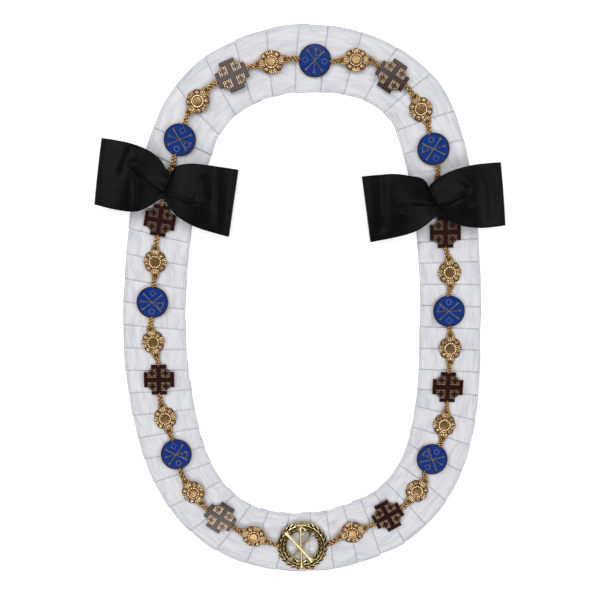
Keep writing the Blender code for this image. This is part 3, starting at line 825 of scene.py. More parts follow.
def calculate(tree, operation, a, b=0.0, clamp=False):
    made = tree.nodes.new("ShaderNodeMath")
    made.operation = operation
    made.use_clamp = clamp
    for socket, value in zip(made.inputs, (a, b)):
        if isinstance(value, (int, float)):
            socket.default_value = value
        else:
            tree.links.new(value, socket)
    return made.outputs[0]


def stretched(tree, vector, scale, location=(0.0, 0.0, 0.0)):
    mapping = tree.nodes.new("ShaderNodeMapping")
    mapping.inputs["Scale"].default_value = scale
    mapping.inputs["Location"].default_value = location
    tree.links.new(vector, mapping.inputs["Vector"])
    return mapping.outputs["Vector"]


def noise(tree, vector, scale=1.0, detail=2.0, roughness=0.5):
    made = tree.nodes.new("ShaderNodeTexNoise")
    made.inputs["Scale"].default_value = scale
    made.inputs["Detail"].default_value = detail
    made.inputs["Roughness"].default_value = roughness
    tree.links.new(vector, made.inputs["Vector"])
    return made.outputs["Fac"]


def ramp(tree, value, *stops):
    made = tree.nodes.new("ShaderNodeValToRGB")
    elements = made.color_ramp.elements
    while len(elements) < len(stops):
        elements.new(0.5)
    for element, (place, colour) in zip(elements, stops):
        element.position = place
        element.color = (*colour, 1.0)
    tree.links.new(value, made.inputs["Fac"])
    return made.outputs["Color"]


def remap(tree, value, from_low, from_high, to_low, to_high):
    made = tree.nodes.new("ShaderNodeMapRange")
    made.inputs["From Min"].default_value = from_low
    made.inputs["From Max"].default_value = from_high
    made.inputs["To Min"].default_value = to_low
    made.inputs["To Max"].default_value = to_high
    tree.links.new(value, made.inputs["Value"])
    return made.outputs["Result"]


def set_bump(tree, shader, height, strength, distance):
    made = tree.nodes.new("ShaderNodeBump")
    made.inputs["Strength"].default_value = strength
    made.inputs["Distance"].default_value = distance
    tree.links.new(height, made.inputs["Height"])
    tree.links.new(made.outputs["Normal"], shader.inputs["Normal"])


def object_place(tree):
    return tree.nodes.new("ShaderNodeTexCoord").outputs["Object"]


def cloth_place(tree):
    """The cloth's own coordinates in metres: the vector, the way along and the way across."""
    made = tree.nodes.new("ShaderNodeUVMap")
    made.uv_map = "cloth"
    split = tree.nodes.new("ShaderNodeSeparateXYZ")
    tree.links.new(made.outputs["UV"], split.inputs["Vector"])
    return made.outputs["UV"], split.outputs["X"], split.outputs["Y"]


def watered_figure(tree, vector, along, across):
    """Watered silk: wavering streaks along the ribbon that thicken, fade and break, 0 to 1."""
    wander = noise(tree, stretched(tree, vector, WAVER_FINENESS))
    bend = calculate(tree, "MULTIPLY", calculate(tree, "SUBTRACT", wander, 0.5), WAVER)
    joined = tree.nodes.new("ShaderNodeCombineXYZ")
    tree.links.new(along, joined.inputs["X"])
    tree.links.new(calculate(tree, "ADD", across, bend), joined.inputs["Y"])
    total = 0.0
    for place, (length, width, share) in enumerate(STREAKS):
        layer = stretched(tree, joined.outputs["Vector"], (length, width, 1.0), (place * 5.0, 0.0, 0.0))
        streak = noise(tree, layer)
        total = calculate(tree, "ADD", remap(tree, streak, 0.3, 0.7, 0.0, share), total)
    return total


def silk(name, dark, middle, light, sheen, rough, gloss, relief):
    """Moire ribbon: crosswise ribs, and the watered figure in tone and gloss."""
    material, tree, shader = new_material(name)
    vector, along, across = cloth_place(tree)
    figure = watered_figure(tree, vector, along, across)
    tree.links.new(ramp(tree, figure, (0.1, dark), (0.5, middle), (0.9, light)), shader.inputs["Base Color"])
    tree.links.new(remap(tree, figure, 0.0, 1.0, rough + 0.08, rough - 0.08), shader.inputs["Roughness"])
    shader.inputs["Specular IOR Level"].default_value = gloss
    shader.inputs["Sheen Weight"].default_value = sheen
    shader.inputs["Sheen Roughness"].default_value = 0.4
    ribs = calculate(tree, "SINE", calculate(tree, "MULTIPLY", along, 2 * math.pi / SILK_RIB_PITCH))
    creases = noise(tree, stretched(tree, vector, CREASE_FINENESS))
    height = calculate(tree, "MULTIPLY", ribs, 0.2)
    for form, share in ((figure, 1.4), (creases, 2.0)):
        height = calculate(tree, "ADD", height, calculate(tree, "MULTIPLY", form, share))
    set_bump(tree, shader, height, relief, 0.0003)
    return material


def gilt(name, bright, dark, polish, tarnish, grain, metal=1.0, middle=None, lacquer=0.0):
    """Cast gilt metal, darker and duller where the tone is low: painted shade and patina in its recesses, and
    painted highlight and wear where the tone is high.
    """
    material, tree, shader = new_material(name)
    place = object_place(tree)
    tone = tree.nodes.new("ShaderNodeAttribute")
    tone.attribute_name = "tone"
    patches = noise(tree, place, 700.0, 3.0, 0.6)
    spots = calculate(tree, "MULTIPLY", calculate(tree, "SUBTRACT", patches, 0.5), tarnish)
    level = calculate(tree, "ADD", tone.outputs["Fac"], spots, clamp=True)
    middle = middle or tuple((a + b) / 2 for a, b in zip(bright, dark))
    tree.links.new(ramp(tree, level, (0.0, dark), (0.5, middle), (1.0, bright)), shader.inputs["Base Color"])
    shader.inputs["Metallic"].default_value = metal
    shader.inputs["Coat Weight"].default_value = lacquer
    shader.inputs["Coat Roughness"].default_value = 0.12
    tree.links.new(remap(tree, level, 0.0, 1.0, polish + 0.2, polish), shader.inputs["Roughness"])
    set_bump(tree, shader, noise(tree, place, 1800.0, 2.0), grain, 0.0002)
    return material


def enamel(name, deep, pale, rough, gloss):
    """Fired enamel: faint clouds of colour under a glassy, slightly uneven top."""
    material, tree, shader = new_material(name)
    place = object_place(tree)
    tree.links.new(ramp(tree, noise(tree, place, 240.0, 3.0, 0.6), (0.3, deep), (0.7, pale)),
                   shader.inputs["Base Color"])
    shader.inputs["Roughness"].default_value = rough
    shader.inputs["Specular IOR Level"].default_value = gloss
    set_bump(tree, shader, noise(tree, place, 420.0, 1.0), 0.10, 0.0002)
    return material


def thread_material(name, dark, light):
    """Twisted sewing thread."""
    material, tree, shader = new_material(name)
    place = object_place(tree)
    strands = noise(tree, place, 3000.0, 2.0)
    tree.links.new(ramp(tree, strands, (0.3, dark), (0.7, light)), shader.inputs["Base Color"])
    shader.inputs["Roughness"].default_value = 0.7
    set_bump(tree, shader, strands, 0.5, 0.0002)
    return material


WHITE_SILK = silk("white_moire", (0.555, 0.555, 0.600), (0.690, 0.690, 0.725), (0.795, 0.795, 0.805),
                  sheen=0.10, rough=0.52, gloss=0.3, relief=0.45)
BLACK_SILK = silk("black_moire", (0.0016, 0.0016, 0.0018), (0.0024, 0.0024, 0.0027), (0.0034, 0.0034, 0.0038),
                  sheen=0.0, rough=0.34, gloss=0.075, relief=0.20)
GILT = gilt("bright_gilt", (1.00, 0.76, 0.44), (0.10, 0.038, 0.007), middle=(0.42, 0.255, 0.098),
            polish=0.16, tarnish=0.8, grain=0.35, metal=0.85, lacquer=0.4)
LINK_GILT = gilt("link_gilt", (0.56, 0.34, 0.135), (0.06, 0.020, 0.006), polish=0.18, tarnish=1.0, grain=0.6)
FIELD_GILT = gilt("field_gilt", (0.34, 0.240, 0.135), (0.13, 0.060, 0.035),
                  polish=0.10, tarnish=0.4, grain=0.12, metal=0.8, lacquer=0.8)
DULL_BRASS = gilt("dull_brass", (0.30, 0.21, 0.15), (0.045, 0.020, 0.018),
                  polish=0.20, tarnish=0.6, grain=0.4)
# Worn wire whose near-white light end carries the painted highlight of the monogram's top ridge
WIRE_WEAR_AND_HIGHLIGHT = gilt("wire_wear_and_highlight", (0.95, 0.92, 0.98), (0.080, 0.058, 0.066),
                 polish=0.24, tarnish=0.3, grain=0.3, metal=0.6)
ANTIQUE = gilt("antique_gilt", (1.00, 0.84, 0.48), (0.012, 0.008, 0.002), polish=0.27, tarnish=0.3, grain=0.2)
BLUE = enamel("royal_blue_enamel", (0.0040, 0.024, 0.250), (0.0110, 0.046, 0.165), rough=0.13, gloss=0.2)
MAROON = enamel("maroon_enamel", (0.018, 0.0030, 0.0028), (0.026, 0.0048, 0.0042), rough=0.12, gloss=0.50)
# Dark brown thread in the eyelets: partly thread, partly painted shade inside the eyelet holes
EYELET_THREAD_AND_SHADE = thread_material("eyelet_thread_and_shade", (0.09, 0.038, 0.006), (0.22, 0.105, 0.02))
# Grey thread darker than the ribbon: partly thread, partly painted shade of the needle holes
STITCH_THREAD_AND_SHADE = thread_material("stitch_thread_and_shade", (0.15, 0.15, 0.165), (0.26, 0.26, 0.28))


# Geometry Nodes


def node_tree(name, **sizes):
    """Geometry Nodes tree with a named input for each size, given with its socket type, and those inputs."""
    tree = bpy.data.node_groups.new(name, "GeometryNodeTree")
    for label, kind in {"Geometry": "Geometry", **sizes, "Material": "Material"}.items():
        tree.interface.new_socket(label, in_out="INPUT", socket_type="NodeSocket" + kind)
    tree.interface.new_socket("Geometry", in_out="OUTPUT", socket_type="NodeSocketGeometry")
    return tree, tree.nodes.new("NodeGroupInput").outputs


def add_node(tree, kind, sockets=(), **settings):
    """New node's first output, with the node's settings made and its sockets linked or set."""
    made = tree.nodes.new(kind)
    for name, value in settings.items():
        setattr(made, name, value)
    for name, value in dict(sockets).items():
        if isinstance(value, bpy.types.NodeSocket):
            tree.links.new(value, made.inputs[name])
        else:
            made.inputs[name].default_value = value
    return made.outputs[0]


def join_axes(tree, x=0.0, y=0.0, z=0.0):
    return add_node(tree, "ShaderNodeCombineXYZ", {"X": x, "Y": y, "Z": z})


def point_place(tree):
    """X and Y of each point."""
    split = tree.nodes.new("ShaderNodeSeparateXYZ")
    tree.links.new(add_node(tree, "GeometryNodeInputPosition"), split.inputs[0])
    return split.outputs["X"], split.outputs["Y"]


def end_tree(tree, given, geometry):
    """Real geometry in place of instances, its material, and the tree's output."""
    real = add_node(tree, "GeometryNodeRealizeInstances", {"Geometry": geometry})
    dressed = add_node(tree, "GeometryNodeSetMaterial", {"Geometry": real, "Material": given["Material"]})
    output = tree.nodes.new("NodeGroupOutput")
    tree.links.new(dressed, output.inputs["Geometry"])
    return tree


def arc_row_tree():
    """Sets a seed at even steps on an arc, each turned by the same angle from the radius."""
    tree, given = node_tree("row_on_arc", Count="Int", Radius="Float", Start="Float", Sweep="Float",
                            Turn="Float", Centre="Vector")
    curve = add_node(tree, "GeometryNodeCurveArc", {
        "Resolution": given["Count"],
        "Radius": given["Radius"],
        "Start Angle": given["Start"],
        "Sweep Angle": given["Sweep"],
    })
    x, y = point_place(tree)
    around = calculate(tree, "ADD", calculate(tree, "ARCTAN2", y, x), given["Turn"])
    row = add_node(tree, "GeometryNodeInstanceOnPoints", {
        "Points": curve,
        "Instance": given["Geometry"],
        "Rotation": add_node(tree, "FunctionNodeEulerToRotation", {0: join_axes(tree, z=around)}),
    })
    moved = add_node(tree, "GeometryNodeTransform", {"Geometry": row, "Translation": given["Centre"]})
    return end_tree(tree, given, moved)


def rib_tree():
    """Ribs side by side from a seed of unit length, cut shorter where the field's corner is cut."""
    tree, given = node_tree("field_ribs", Count="Int", First="Float", Pitch="Float", Base="Float",
                            End="Float", Cut="Float")
    line = add_node(tree, "GeometryNodeMeshLine", {
        "Count": given["Count"],
        "Offset": join_axes(tree, given["Pitch"]),
        "Start Location": join_axes(tree, given["First"], given["Base"]),
    })
    past = calculate(tree, "MAXIMUM", calculate(tree, "SUBTRACT", point_place(tree)[0], given["Cut"]), 0.0)
    length = calculate(tree, "SUBTRACT", calculate(tree, "SUBTRACT", given["End"], past), given["Base"])
    row = add_node(tree, "GeometryNodeInstanceOnPoints", {
        "Points": line,
        "Instance": given["Geometry"],
        "Scale": join_axes(tree, 1.0, calculate(tree, "DIVIDE", length, RIB_UNIT), 1.0),
    })
    return end_tree(tree, given, row)


def stitch_tree():
    """Short thread stitches at an even pitch along the seed's lines."""
    tree, given = node_tree("stitch_row", Pitch="Float", Length="Float", Thickness="Float")
    line = add_node(tree, "GeometryNodeMeshToCurve", {"Mesh": given["Geometry"]})
    spots = add_node(tree, "GeometryNodeResampleCurve", {"Curve": line, "Length": given["Pitch"]},
                     mode="LENGTH")
    tangent = add_node(tree, "GeometryNodeInputTangent")
    row = add_node(tree, "GeometryNodeInstanceOnPoints", {
        "Points": spots,
        "Instance": add_node(tree, "GeometryNodeMeshUVSphere", {"Segments": 6, "Rings": 4, "Radius": 0.5}),
        "Rotation": add_node(tree, "FunctionNodeAlignRotationToVector", {"Vector": tangent}, axis="X"),
        "Scale": join_axes(tree, given["Length"], given["Thickness"], given["Thickness"]),
    })
    return end_tree(tree, given, add_node(tree, "GeometryNodeSetShadeSmooth", {"Geometry": row}))


def pleat_tree():
    """Raises the flat ribbon to its pleats, by each point's place in its panel or its height in the tuck."""
    tree, given = node_tree("pleat_heights", **dict.fromkeys(PLEAT_SIZES, "Float"))
    place, tuck = (add_node(tree, "GeometryNodeInputNamedAttribute", {"Name": name}, data_type="FLOAT")
                   for name in ("place", "tuck"))
    swell = calculate(tree, "SINE", calculate(tree, "MULTIPLY", place, math.pi))
    dip = calculate(tree, "DIVIDE", calculate(tree, "SUBTRACT", place, DIP_START), 1 - DIP_START, clamp=True)
    waves = add_node(tree, "ShaderNodeTexNoise", {
        "W": given["Seed"],
        "Scale": COCKLE_FINENESS,
        "Detail": 1.0,
    }, noise_dimensions="4D")
    cockle = calculate(tree, "MULTIPLY", calculate(tree, "SUBTRACT", waves, 0.5), swell)
    height = given["Crest"]
    for operation, share, size in (
            ("SUBTRACT", place, "Fall"),
            ("SUBTRACT", calculate(tree, "MULTIPLY", dip, dip), "Dip"),
            ("ADD", swell, "Swell"),
            ("ADD", cockle, "Cockle")):
        height = calculate(tree, operation, height, calculate(tree, "MULTIPLY", share, given[size]))
    panel = calculate(tree, "SUBTRACT", 1.0, calculate(tree, "GREATER_THAN", tuck, 0.0))
    level = calculate(tree, "ADD", calculate(tree, "MULTIPLY", height, panel), tuck)
    return end_tree(tree, given, add_node(tree, "GeometryNodeSetPosition", {
        "Geometry": given["Geometry"],
        "Offset": join_axes(tree, z=level),
    }))


def grown(tree, material, sizes, points, edges=(), faces=(), **attributes):
    """Plain mesh that a tree makes from a seed mesh."""
    mesh = bpy.data.meshes.new(tree.name)
    mesh.from_pydata([tuple(map(float, point)) for point in points], edges, faces)
    for name, values in attributes.items():
        mesh.attributes.new(name, "FLOAT", "POINT").data.foreach_set("value", values)
    seed = bpy.data.objects.new(tree.name, mesh)
    bpy.context.collection.objects.link(seed)
    modifier = seed.modifiers.new(tree.name, "NODES")
    modifier.node_group = tree
    given = {**sizes, "Material": material}
    for item in tree.interface.items_tree:
        if item.in_out == "INPUT" and item.name in given:
            modifier[item.identifier] = given[item.name]
    made = bpy.data.meshes.new_from_object(seed.evaluated_get(bpy.context.evaluated_depsgraph_get()))
    bpy.data.objects.remove(seed)
    bpy.data.meshes.remove(mesh)
    return made


ARC_ROW = arc_row_tree()


# Ribbon


def cloth_object(name, grid, lengths, widths, thickness, material, closed=False):
    """Sheet of cloth on a grid of points, with its own coordinates in metres and a real thickness."""
    rows, columns = grid.shape[:2]
    mesh = bpy.data.meshes.new(name)
    points = [tuple(map(float, point)) for point in grid.reshape(-1, 3)]
    mesh.from_pydata(points, [], grid_faces(rows, columns, wrap_rows=closed))
    mesh.materials.append(material)
    mesh.polygons.foreach_set("use_smooth", [True] * len(mesh.polygons))
    layer = mesh.uv_layers.new(name="cloth")
    for polygon in mesh.polygons:
        for loop in polygon.loop_indices:
            row, column = divmod(mesh.loops[loop].vertex_index, columns)
            last_step = closed and row == 0 and polygon.index >= (rows - 1) * (columns - 1)
            layer.data[loop].uv = (lengths[-1] if last_step else lengths[row], widths[column])
    mesh.update()
    item = bpy.data.objects.new(name, mesh)
    bpy.context.collection.objects.link(item)
    wall = item.modifiers.new("thickness", "SOLIDIFY")
    wall.thickness = thickness
    wall.offset = -1.0
    return item


def ribbon_points(stations, widths):
    """Points on the flat ribbon, at one station and one share of the half width each."""
    def read(shares):
        return np.column_stack([np.interp(shares % 1.0, STATIONS, ROUTE[:, k]) for k in range(3)])
    here = read(stations)
    nudges = np.array(NUDGES)
    out, wider = (np.interp(stations % 1.0, nudges[:, 0], nudges[:, k] / 1000, period=1.0) for k in (1, 2))
    along = read(stations + ROUTE_LOOK)[:, :2] - read(stations - ROUTE_LOOK)[:, :2]
    along /= np.linalg.norm(along, axis=1, keepdims=True)
    aside = widths * (here[:, 2] + wider) / 2 + out
    return here[:, :2] + np.column_stack((-along[:, 1], along[:, 0])) * aside[:, None]


def pleated_ribbon():
    """Knife pleats: a panel from each crest down to the next fold, then a tuck under the next panel and back.

    The rows are laid flat here, and the tree gives them their heights. The stitches run along both edges.
    """
    chance = np.random.default_rng(7)
    widths = np.linspace(-1.0, 1.0, ACROSS_STEPS + 1)
    shift = np.array(SHIFT)
    folds = fold_lines()
    count = len(folds)

    def line(place):
        """Points across the ribbon at a place between folds, counted in pleats."""
        i = int(place)
        t = place - i
        (station, lean), (next_station, next_lean) = folds[i % count], folds[(i + 1) % count]
        gap = (next_station - station) % 1.0
        slant = lean * (1 - t) + next_lean * t
        return ribbon_points(station + gap * t + widths * slant / 2, widths) + shift

    rows, places, tucks = [], [], []
    for i in range(count):
        end = line(i + 1)
        away = line(i + TUCK_AIM) - end
        away /= np.linalg.norm(away, axis=1, keepdims=True)
        over = (end[-1] - end[0]) / np.linalg.norm(end[-1] - end[0])
        slip_start, slip_end = chance.normal(0.0, PLEAT_SKEW, 2)
        for step in range(PANEL_STEPS + 1):
            t = PANEL_START + PANEL_SPAN * step / PANEL_STEPS
            rows.append(line(i + t) + over * (slip_start * (1 - t) + slip_end * t))
            places.append(t)
            tucks.append(0.0)
        for past, height in TUCK:
            rows.append(end + away * past + over * slip_end)
            places.append(0.0)
            tucks.append(height)
    flat = np.dstack((np.array(rows), np.zeros((len(rows), len(widths)))))
    marks = {"place": np.repeat(places, len(widths)), "tuck": np.repeat(tucks, len(widths))}
    raised = grown(pleat_tree(), WHITE_SILK, PLEAT_SIZES, flat.reshape(-1, 3), **marks)
    grid = np.array([vertex.co for vertex in raised.vertices]).reshape(flat.shape)
    middle = grid[:, ACROSS_STEPS // 2]
    gaps = np.linalg.norm(np.diff(np.vstack((middle, middle[:1])), axis=0), axis=1)
    lengths = np.concatenate(([0.0], np.cumsum(gaps)))
    across = widths * RIBBON_WIDTH / 2
    item = cloth_object("moire_ribbon", grid, lengths, across, SILK, WHITE_SILK, closed=True)
    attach(item, "root")
    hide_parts("pleated_ribbon")
    tops = grid[np.array(tucks) == 0.0][:, STITCH_COLUMNS] + (0.0, 0.0, STITCH_LIFT)
    steps = len(tops)
    edges = [(2 * a + k, 2 * ((a + 1) % steps) + k) for k in range(2) for a in range(steps)]
    sewn = grown(stitch_tree(), STITCH_THREAD_AND_SHADE, STITCH_SIZES, tops.reshape(-1, 3), edges)
    stitches = bpy.data.objects.new("edge_stitches", sewn)
    bpy.context.collection.objects.link(stitches)
    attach(stitches, "root")


# Links


def hole_reach(kind):
    """Distance from a link's centre to the rings at its two ends."""
    half = {"medallion": MEDALLION_RADIUS, "cross": CROSS_HALF, "wreath": WREATH_RADIUS}
    return EYELET_REACH if kind == "rosette" else half[kind] + TAB_STANDOFF


def hole_place(link, end):
    centre, angle = link_place(link)
    return centre + Vector((math.cos(angle), math.sin(angle))) * end * hole_reach(link[0])


def add_tabs(shape, kind, slot):
    """Small ring at each end of a plate, half under its edge."""
    half = (TAB_RING - TAB_WIRE) / 2
    for end in (-1, 1):
        centre = Vector((end * hole_reach(kind), 0.0, TAB_WIRE / 2))
        points, faces = ring(centre, ALONG, OUTWARD, half, half, TAB_WIRE, steps=18, sides=8)
        shape.add(points, faces, slot=slot, tone=0.7)


def boss_relief(radius):
    """Height and tone of the boss: a low crown that rolls over at its edge."""
    share = radius / BOSS_RADIUS
    roll = max(0.0, share - BOSS_SHOULDER) / (1 - BOSS_SHOULDER)
    # The tone falls where the crown rolls over: painted shade on its edge.
    return BOSS_TOP + BOSS_CROWN * (1 - share ** 2) - BOSS_ROLL * roll ** 2, BOSS_TONE * (1 - roll ** 2)


def fan_relief(radius, off):
    """Height and tone of a ribbed fan at an angle off its axis."""
    reach = (radius - FAN_START) / (ROSETTE_RADIUS - FAN_START)
    rib = abs(math.cos(off * math.pi * FAN_RIBS / (2 * FAN_HALF)))
    swell = math.sin(math.pi * min(1.0, FAN_ROOT + reach * FAN_SPREAD)) ** 0.4
    envelope = swell * (1 - (off / FAN_HALF) ** 6)
    # The tone is high on the rib crests and low in the grooves: painted highlight and painted shade.
    return ROSETTE_GROUND + envelope * (FAN_RISE + FAN_RIB_RISE * rib), FAN_TONE * rib ** 1.5 * envelope


def dome_relief(across):
    """Height and tone of a flat-topped dome at a distance from its middle."""
    fall = (across / DOME_RADIUS) ** 4
    # The dome's low tone, lower still towards its edge, is a painted dark reflection of the surroundings.
    return ROSETTE_GROUND + DOME_RISE * (1 - fall) ** 0.5, DOME_TONE * (1 - 0.8 * fall)


def rosette_relief(radius, angle):
    """Height and tone of the cast rosette: boss, ribbed fans on the axes and domes on the diagonals."""
    if radius < BOSS_RADIUS:
        return boss_relief(radius)
    forms = [(ROSETTE_GROUND, 0.0)]
    quarter = math.pi / 2
    off = abs(angle - round(angle / quarter) * quarter)
    if radius > FAN_START and off < FAN_HALF:
        forms.append(fan_relief(radius, off))
    diagonal = (math.floor(angle / quarter) + 0.5) * quarter
    across = math.sqrt(radius ** 2 + DOME_REACH ** 2 - 2 * radius * DOME_REACH * math.cos(angle - diagonal))
    if across < DOME_RADIUS:
        forms.append(dome_relief(across))
    return max(forms)


def rosette_face(spokes=216, rings=34):
    """Polar grid of the rosette's relief with its side wall and flat back, and the tone of each point."""
    points, tones = [], []
    waves = np.random.default_rng(11).uniform(-1.0, 1.0, (LUMP_WAVES, 3))
    for a in range(rings + 1):
        share = max(a / rings, 0.002)
        for b in range(spokes):
            angle = 2 * math.pi * b / spokes
            radius = share * ROSETTE_RADIUS * (1 + SCALLOP_DEPTH * (math.cos(SCALLOPS * angle) - 1))
            height, tone = rosette_relief(radius, angle)
            x, y = radius * math.cos(angle), radius * math.sin(angle)
            rough = np.mean(np.sin(LUMP_FINENESS * (waves[:, 0] * x + waves[:, 1] * y) + 6.0 * waves[:, 2]))
            # Beyond the beads the tone follows the lumps, lighter on their tops and darker between them:
            # partly wear, partly painted shade.
            if radius > BOSS_RADIUS + BEAD_BAND:
                height += LUMP_HEIGHT * rough
                tone += GROUND_WEAR_AND_SHADE * rough
            elif radius < BOSS_RADIUS:
                tone += BOSS_WEAR * rough
            points.append((x, y, min(height, EDGE_LEVEL + (1.0 - share) * EDGE_SLOPE)))
            tones.append(tone)
    rim = points[-spokes:]
    points.extend((x, y, 0.0) for x, y, _ in rim)
    tones.extend([0.1] * spokes)
    faces = [tuple(reversed(face)) for face in grid_faces(rings + 2, spokes, wrap_columns=True)]
    faces.append(tuple(range(spokes)))
    faces.append(tuple(reversed(range((rings + 1) * spokes, (rings + 2) * spokes))))
    return points, faces, tones


def bead_ring():
    """Ring of small domed beads round the boss."""
    half = BEAD_BAND / 2
    profile = ((half, 0.0), (half, 0.4 * half), (0.75 * half, 0.85 * half), (0.25 * half, half))
    points, faces = lathe(profile, BEAD_SIDES)
    sizes = {
        "Count": BEADS,
        "Radius": BOSS_RADIUS + half,
        "Start": 0.0,
        "Sweep": 2 * math.pi * (1 - 1 / BEADS),
        "Turn": 0.0,
        "Centre": (0.0, 0.0, BEAD_LEVEL),
    }
    return grown(ARC_ROW, GILT, sizes, points, (), faces, tone=[BEAD_TONE] * len(points))


ROSETTE_FACE = rosette_face()
BEAD_RING = bead_ring()


def neck_grain(reach, aside, radius):
    """Small dome on the neck."""
    profile = ((radius, GRAIN_BASE), (radius * 0.92, GRAIN_FOOT), (radius * 0.6, GRAIN_FOOT + radius * 0.55),
               (radius * 0.15, GRAIN_FOOT + radius * 0.75))
    return lathe(profile, 12, (reach, aside))


def jump_ring(eye, far):
    """Ring of twisted wire from an eyelet to the hole of the neighbour, and its tones along the strands."""
    near = eye.xy + (far - eye.xy).normalized() * EYELET_RING / 2
    line = far - near
    along = line.normalized().to_3d()
    side = Vector((-along.y, along.x, 0.0))
    rise = side * math.cos(RING_TILT) + UPWARD * math.sin(RING_TILT)
    middle = ((near + far) / 2).to_3d() + UPWARD * RING_LIFT
    points, faces = ring(middle, along, rise, line.length / 2 + WIRE / 2, (RING_WIDTH - WIRE) / 2, WIRE,
                         RING_STEPS, RING_SIDES, RING_TWISTS)
    # The tones follow the twist: painted highlight on the swell of each strand, painted shade in the grooves
    # between them.
    tones = [0.55 + 0.6 * math.cos(2 * math.pi * (i * RING_TWISTS / RING_STEPS + k / RING_SIDES))
             for i in range(RING_STEPS) for k in range(RING_SIDES)]
    return points, faces, tones


def rosette(name, index):
    """Rosette, its two eyelets with the thread that sews it down, and the jump rings to its neighbours."""
    centre, angle = link_place(CHAIN[index])
    to_local = Matrix.Rotation(-angle, 2)
    shape = Shape()
    points, faces, tones = ROSETTE_FACE
    shape.add(points, faces, slot=0, tone=tones)
    shape.add_mesh(BEAD_RING)
    for end in (-1, 1):
        eye = Vector((end * EYELET_REACH, 0.0, EYELET_WIRE / 2))
        half = EYELET_RING / 2
        points, faces = ring(eye, ALONG, OUTWARD, half, half, EYELET_WIRE, steps=24, sides=10)
        shape.add(points, faces, slot=0, tone=0.5)
        neck = [(end * x, y) for x, y in NECK_OUTLINE]
        # The neck's low tone is painted shade under and between its grains.
        shape.add(*plate(neck, 0.0, NECK_TOP, NECK_BEVEL), slot=0, tone=0.1)
        for reach, aside, radius in NECK_GRAINS:
            shape.add(*neck_grain(end * reach, aside, radius), slot=0, tone=0.55)
        low = eye - UPWARD * THREAD_DROP
        for turn in THREAD_TURNS:
            lean = math.radians(turn * end)
            reach = Vector((math.cos(lean), math.sin(lean), 0.0))
            points, faces = ring(low, reach, UPWARD, THREAD_REACH, THREAD_RISE, THREAD_WIRE,
                                 steps=14, sides=6)
            shape.add(points, faces, slot=1, tone=0.5)
        neighbour = CHAIN[(index + end) % len(CHAIN)]
        points, faces, tones = jump_ring(eye, to_local @ (hole_place(neighbour, -end) - centre))
        shape.add(points, faces, slot=2, tone=tones)
    return shape.build(name, (GILT, EYELET_THREAD_AND_SHADE, LINK_GILT), link_matrix(name, centre, angle))


def link_matrix(name, centre, angle):
    """Place of a link in the frame, tilted, and raised by about as much as its low side drops."""
    tilt_x, tilt_y = TILTS.get(name, (0.0, 0.0))
    lift = CROSS_HALF * (abs(math.sin(math.radians(tilt_x))) + abs(math.sin(math.radians(tilt_y))))
    tilt = Euler((math.radians(tilt_x), math.radians(tilt_y), 0.0)).to_matrix().to_4x4()
    return Matrix.Translation((centre.x, centre.y, LINK_BACK + lift)) @ Matrix.Rotation(angle, 4, "Z") @ tilt


def medallion(name, index, up):
    """Enamel disc in a bevelled rim, with the chi-rho in low wire and a lozenge and a ring beside it."""
    centre, angle = link_place(CHAIN[index])
    shape = Shape()
    points, faces = lathe([(MEDALLION_RADIUS - inwards, height) for inwards, height, _ in RIM_PROFILE],
                          MEDALLION_SIDES)
    shape.add(points, faces, slot=0, tone=[row[2] for row in RIM_PROFILE for _ in range(MEDALLION_SIDES)])
    pool = MEDALLION_RADIUS - MEDALLION_RIM - MEDALLION_BEVEL + ENAMEL_INTO_RIM
    profile = [(pool, ENAMEL_LEVEL - ENAMEL_EDGE), (pool - ENAMEL_EDGE, ENAMEL_LEVEL)]
    profile.extend((pool * share, ENAMEL_LEVEL + rise) for share, rise in ENAMEL_CROWN)
    shape.add(*lathe(profile, MEDALLION_SIDES), slot=1)
    low, crest = ENAMEL_LEVEL - MONOGRAM_FOOT, ENAMEL_LEVEL + MONOGRAM_RISE
    stem = Vector((0.0, MONOGRAM_STEM))
    falling = Vector((MONOGRAM_ARM * math.cos(MONOGRAM_SLOPE), -MONOGRAM_ARM * math.sin(MONOGRAM_SLOPE)))
    rising = Vector((falling.x, -falling.y))
    for step, arm in enumerate((stem, falling, rising)):
        top = crest + step * MONOGRAM_STEP
        points, faces = trumpet(-arm, arm, MONOGRAM_HALF, MONOGRAM_END_HALF, MONOGRAM_FLARE, low, top)
        shape.add(points, faces, slot=2, tone=0.05)
        ridge = arm * RIDGE_SHARE
        points, faces = band((-ridge, ridge), FINE_WIRE_HALF, top - RIDGE_SINK, top + RIDGE_RISE)
        # The fine ridge is lighter on each higher bar: painted highlight, brightest on the bar that crosses
        # over the others.
        shape.add(points, faces, slot=2, tone=0.08 + 0.27 * step)
    for across, height, radius, start, end, count, tone in MARKS:
        line = [(up * x, up * y) for x, y in arc((across, height), radius, start, end, count)]
        shape.add(*band(line, MARK_HALF, low, crest), slot=2, tone=tone)
    add_tabs(shape, "medallion", 3)
    return shape.build(name, (DULL_BRASS, BLUE, WIRE_WEAR_AND_HIGHLIGHT, LINK_GILT), link_matrix(name, centre, angle))


def turned_corners(corner):
    """Closed outline from one corner's points and its three quarter turns, clockwise."""
    outline = []
    for quarter in range(4):
        for x, y in corner:
            for _ in range(quarter):
                x, y = y, -x
            outline.append((x, y))
    return outline


def cross_outline(reach, bar):
    return turned_corners(((bar, reach), (bar, bar), (reach, bar)))


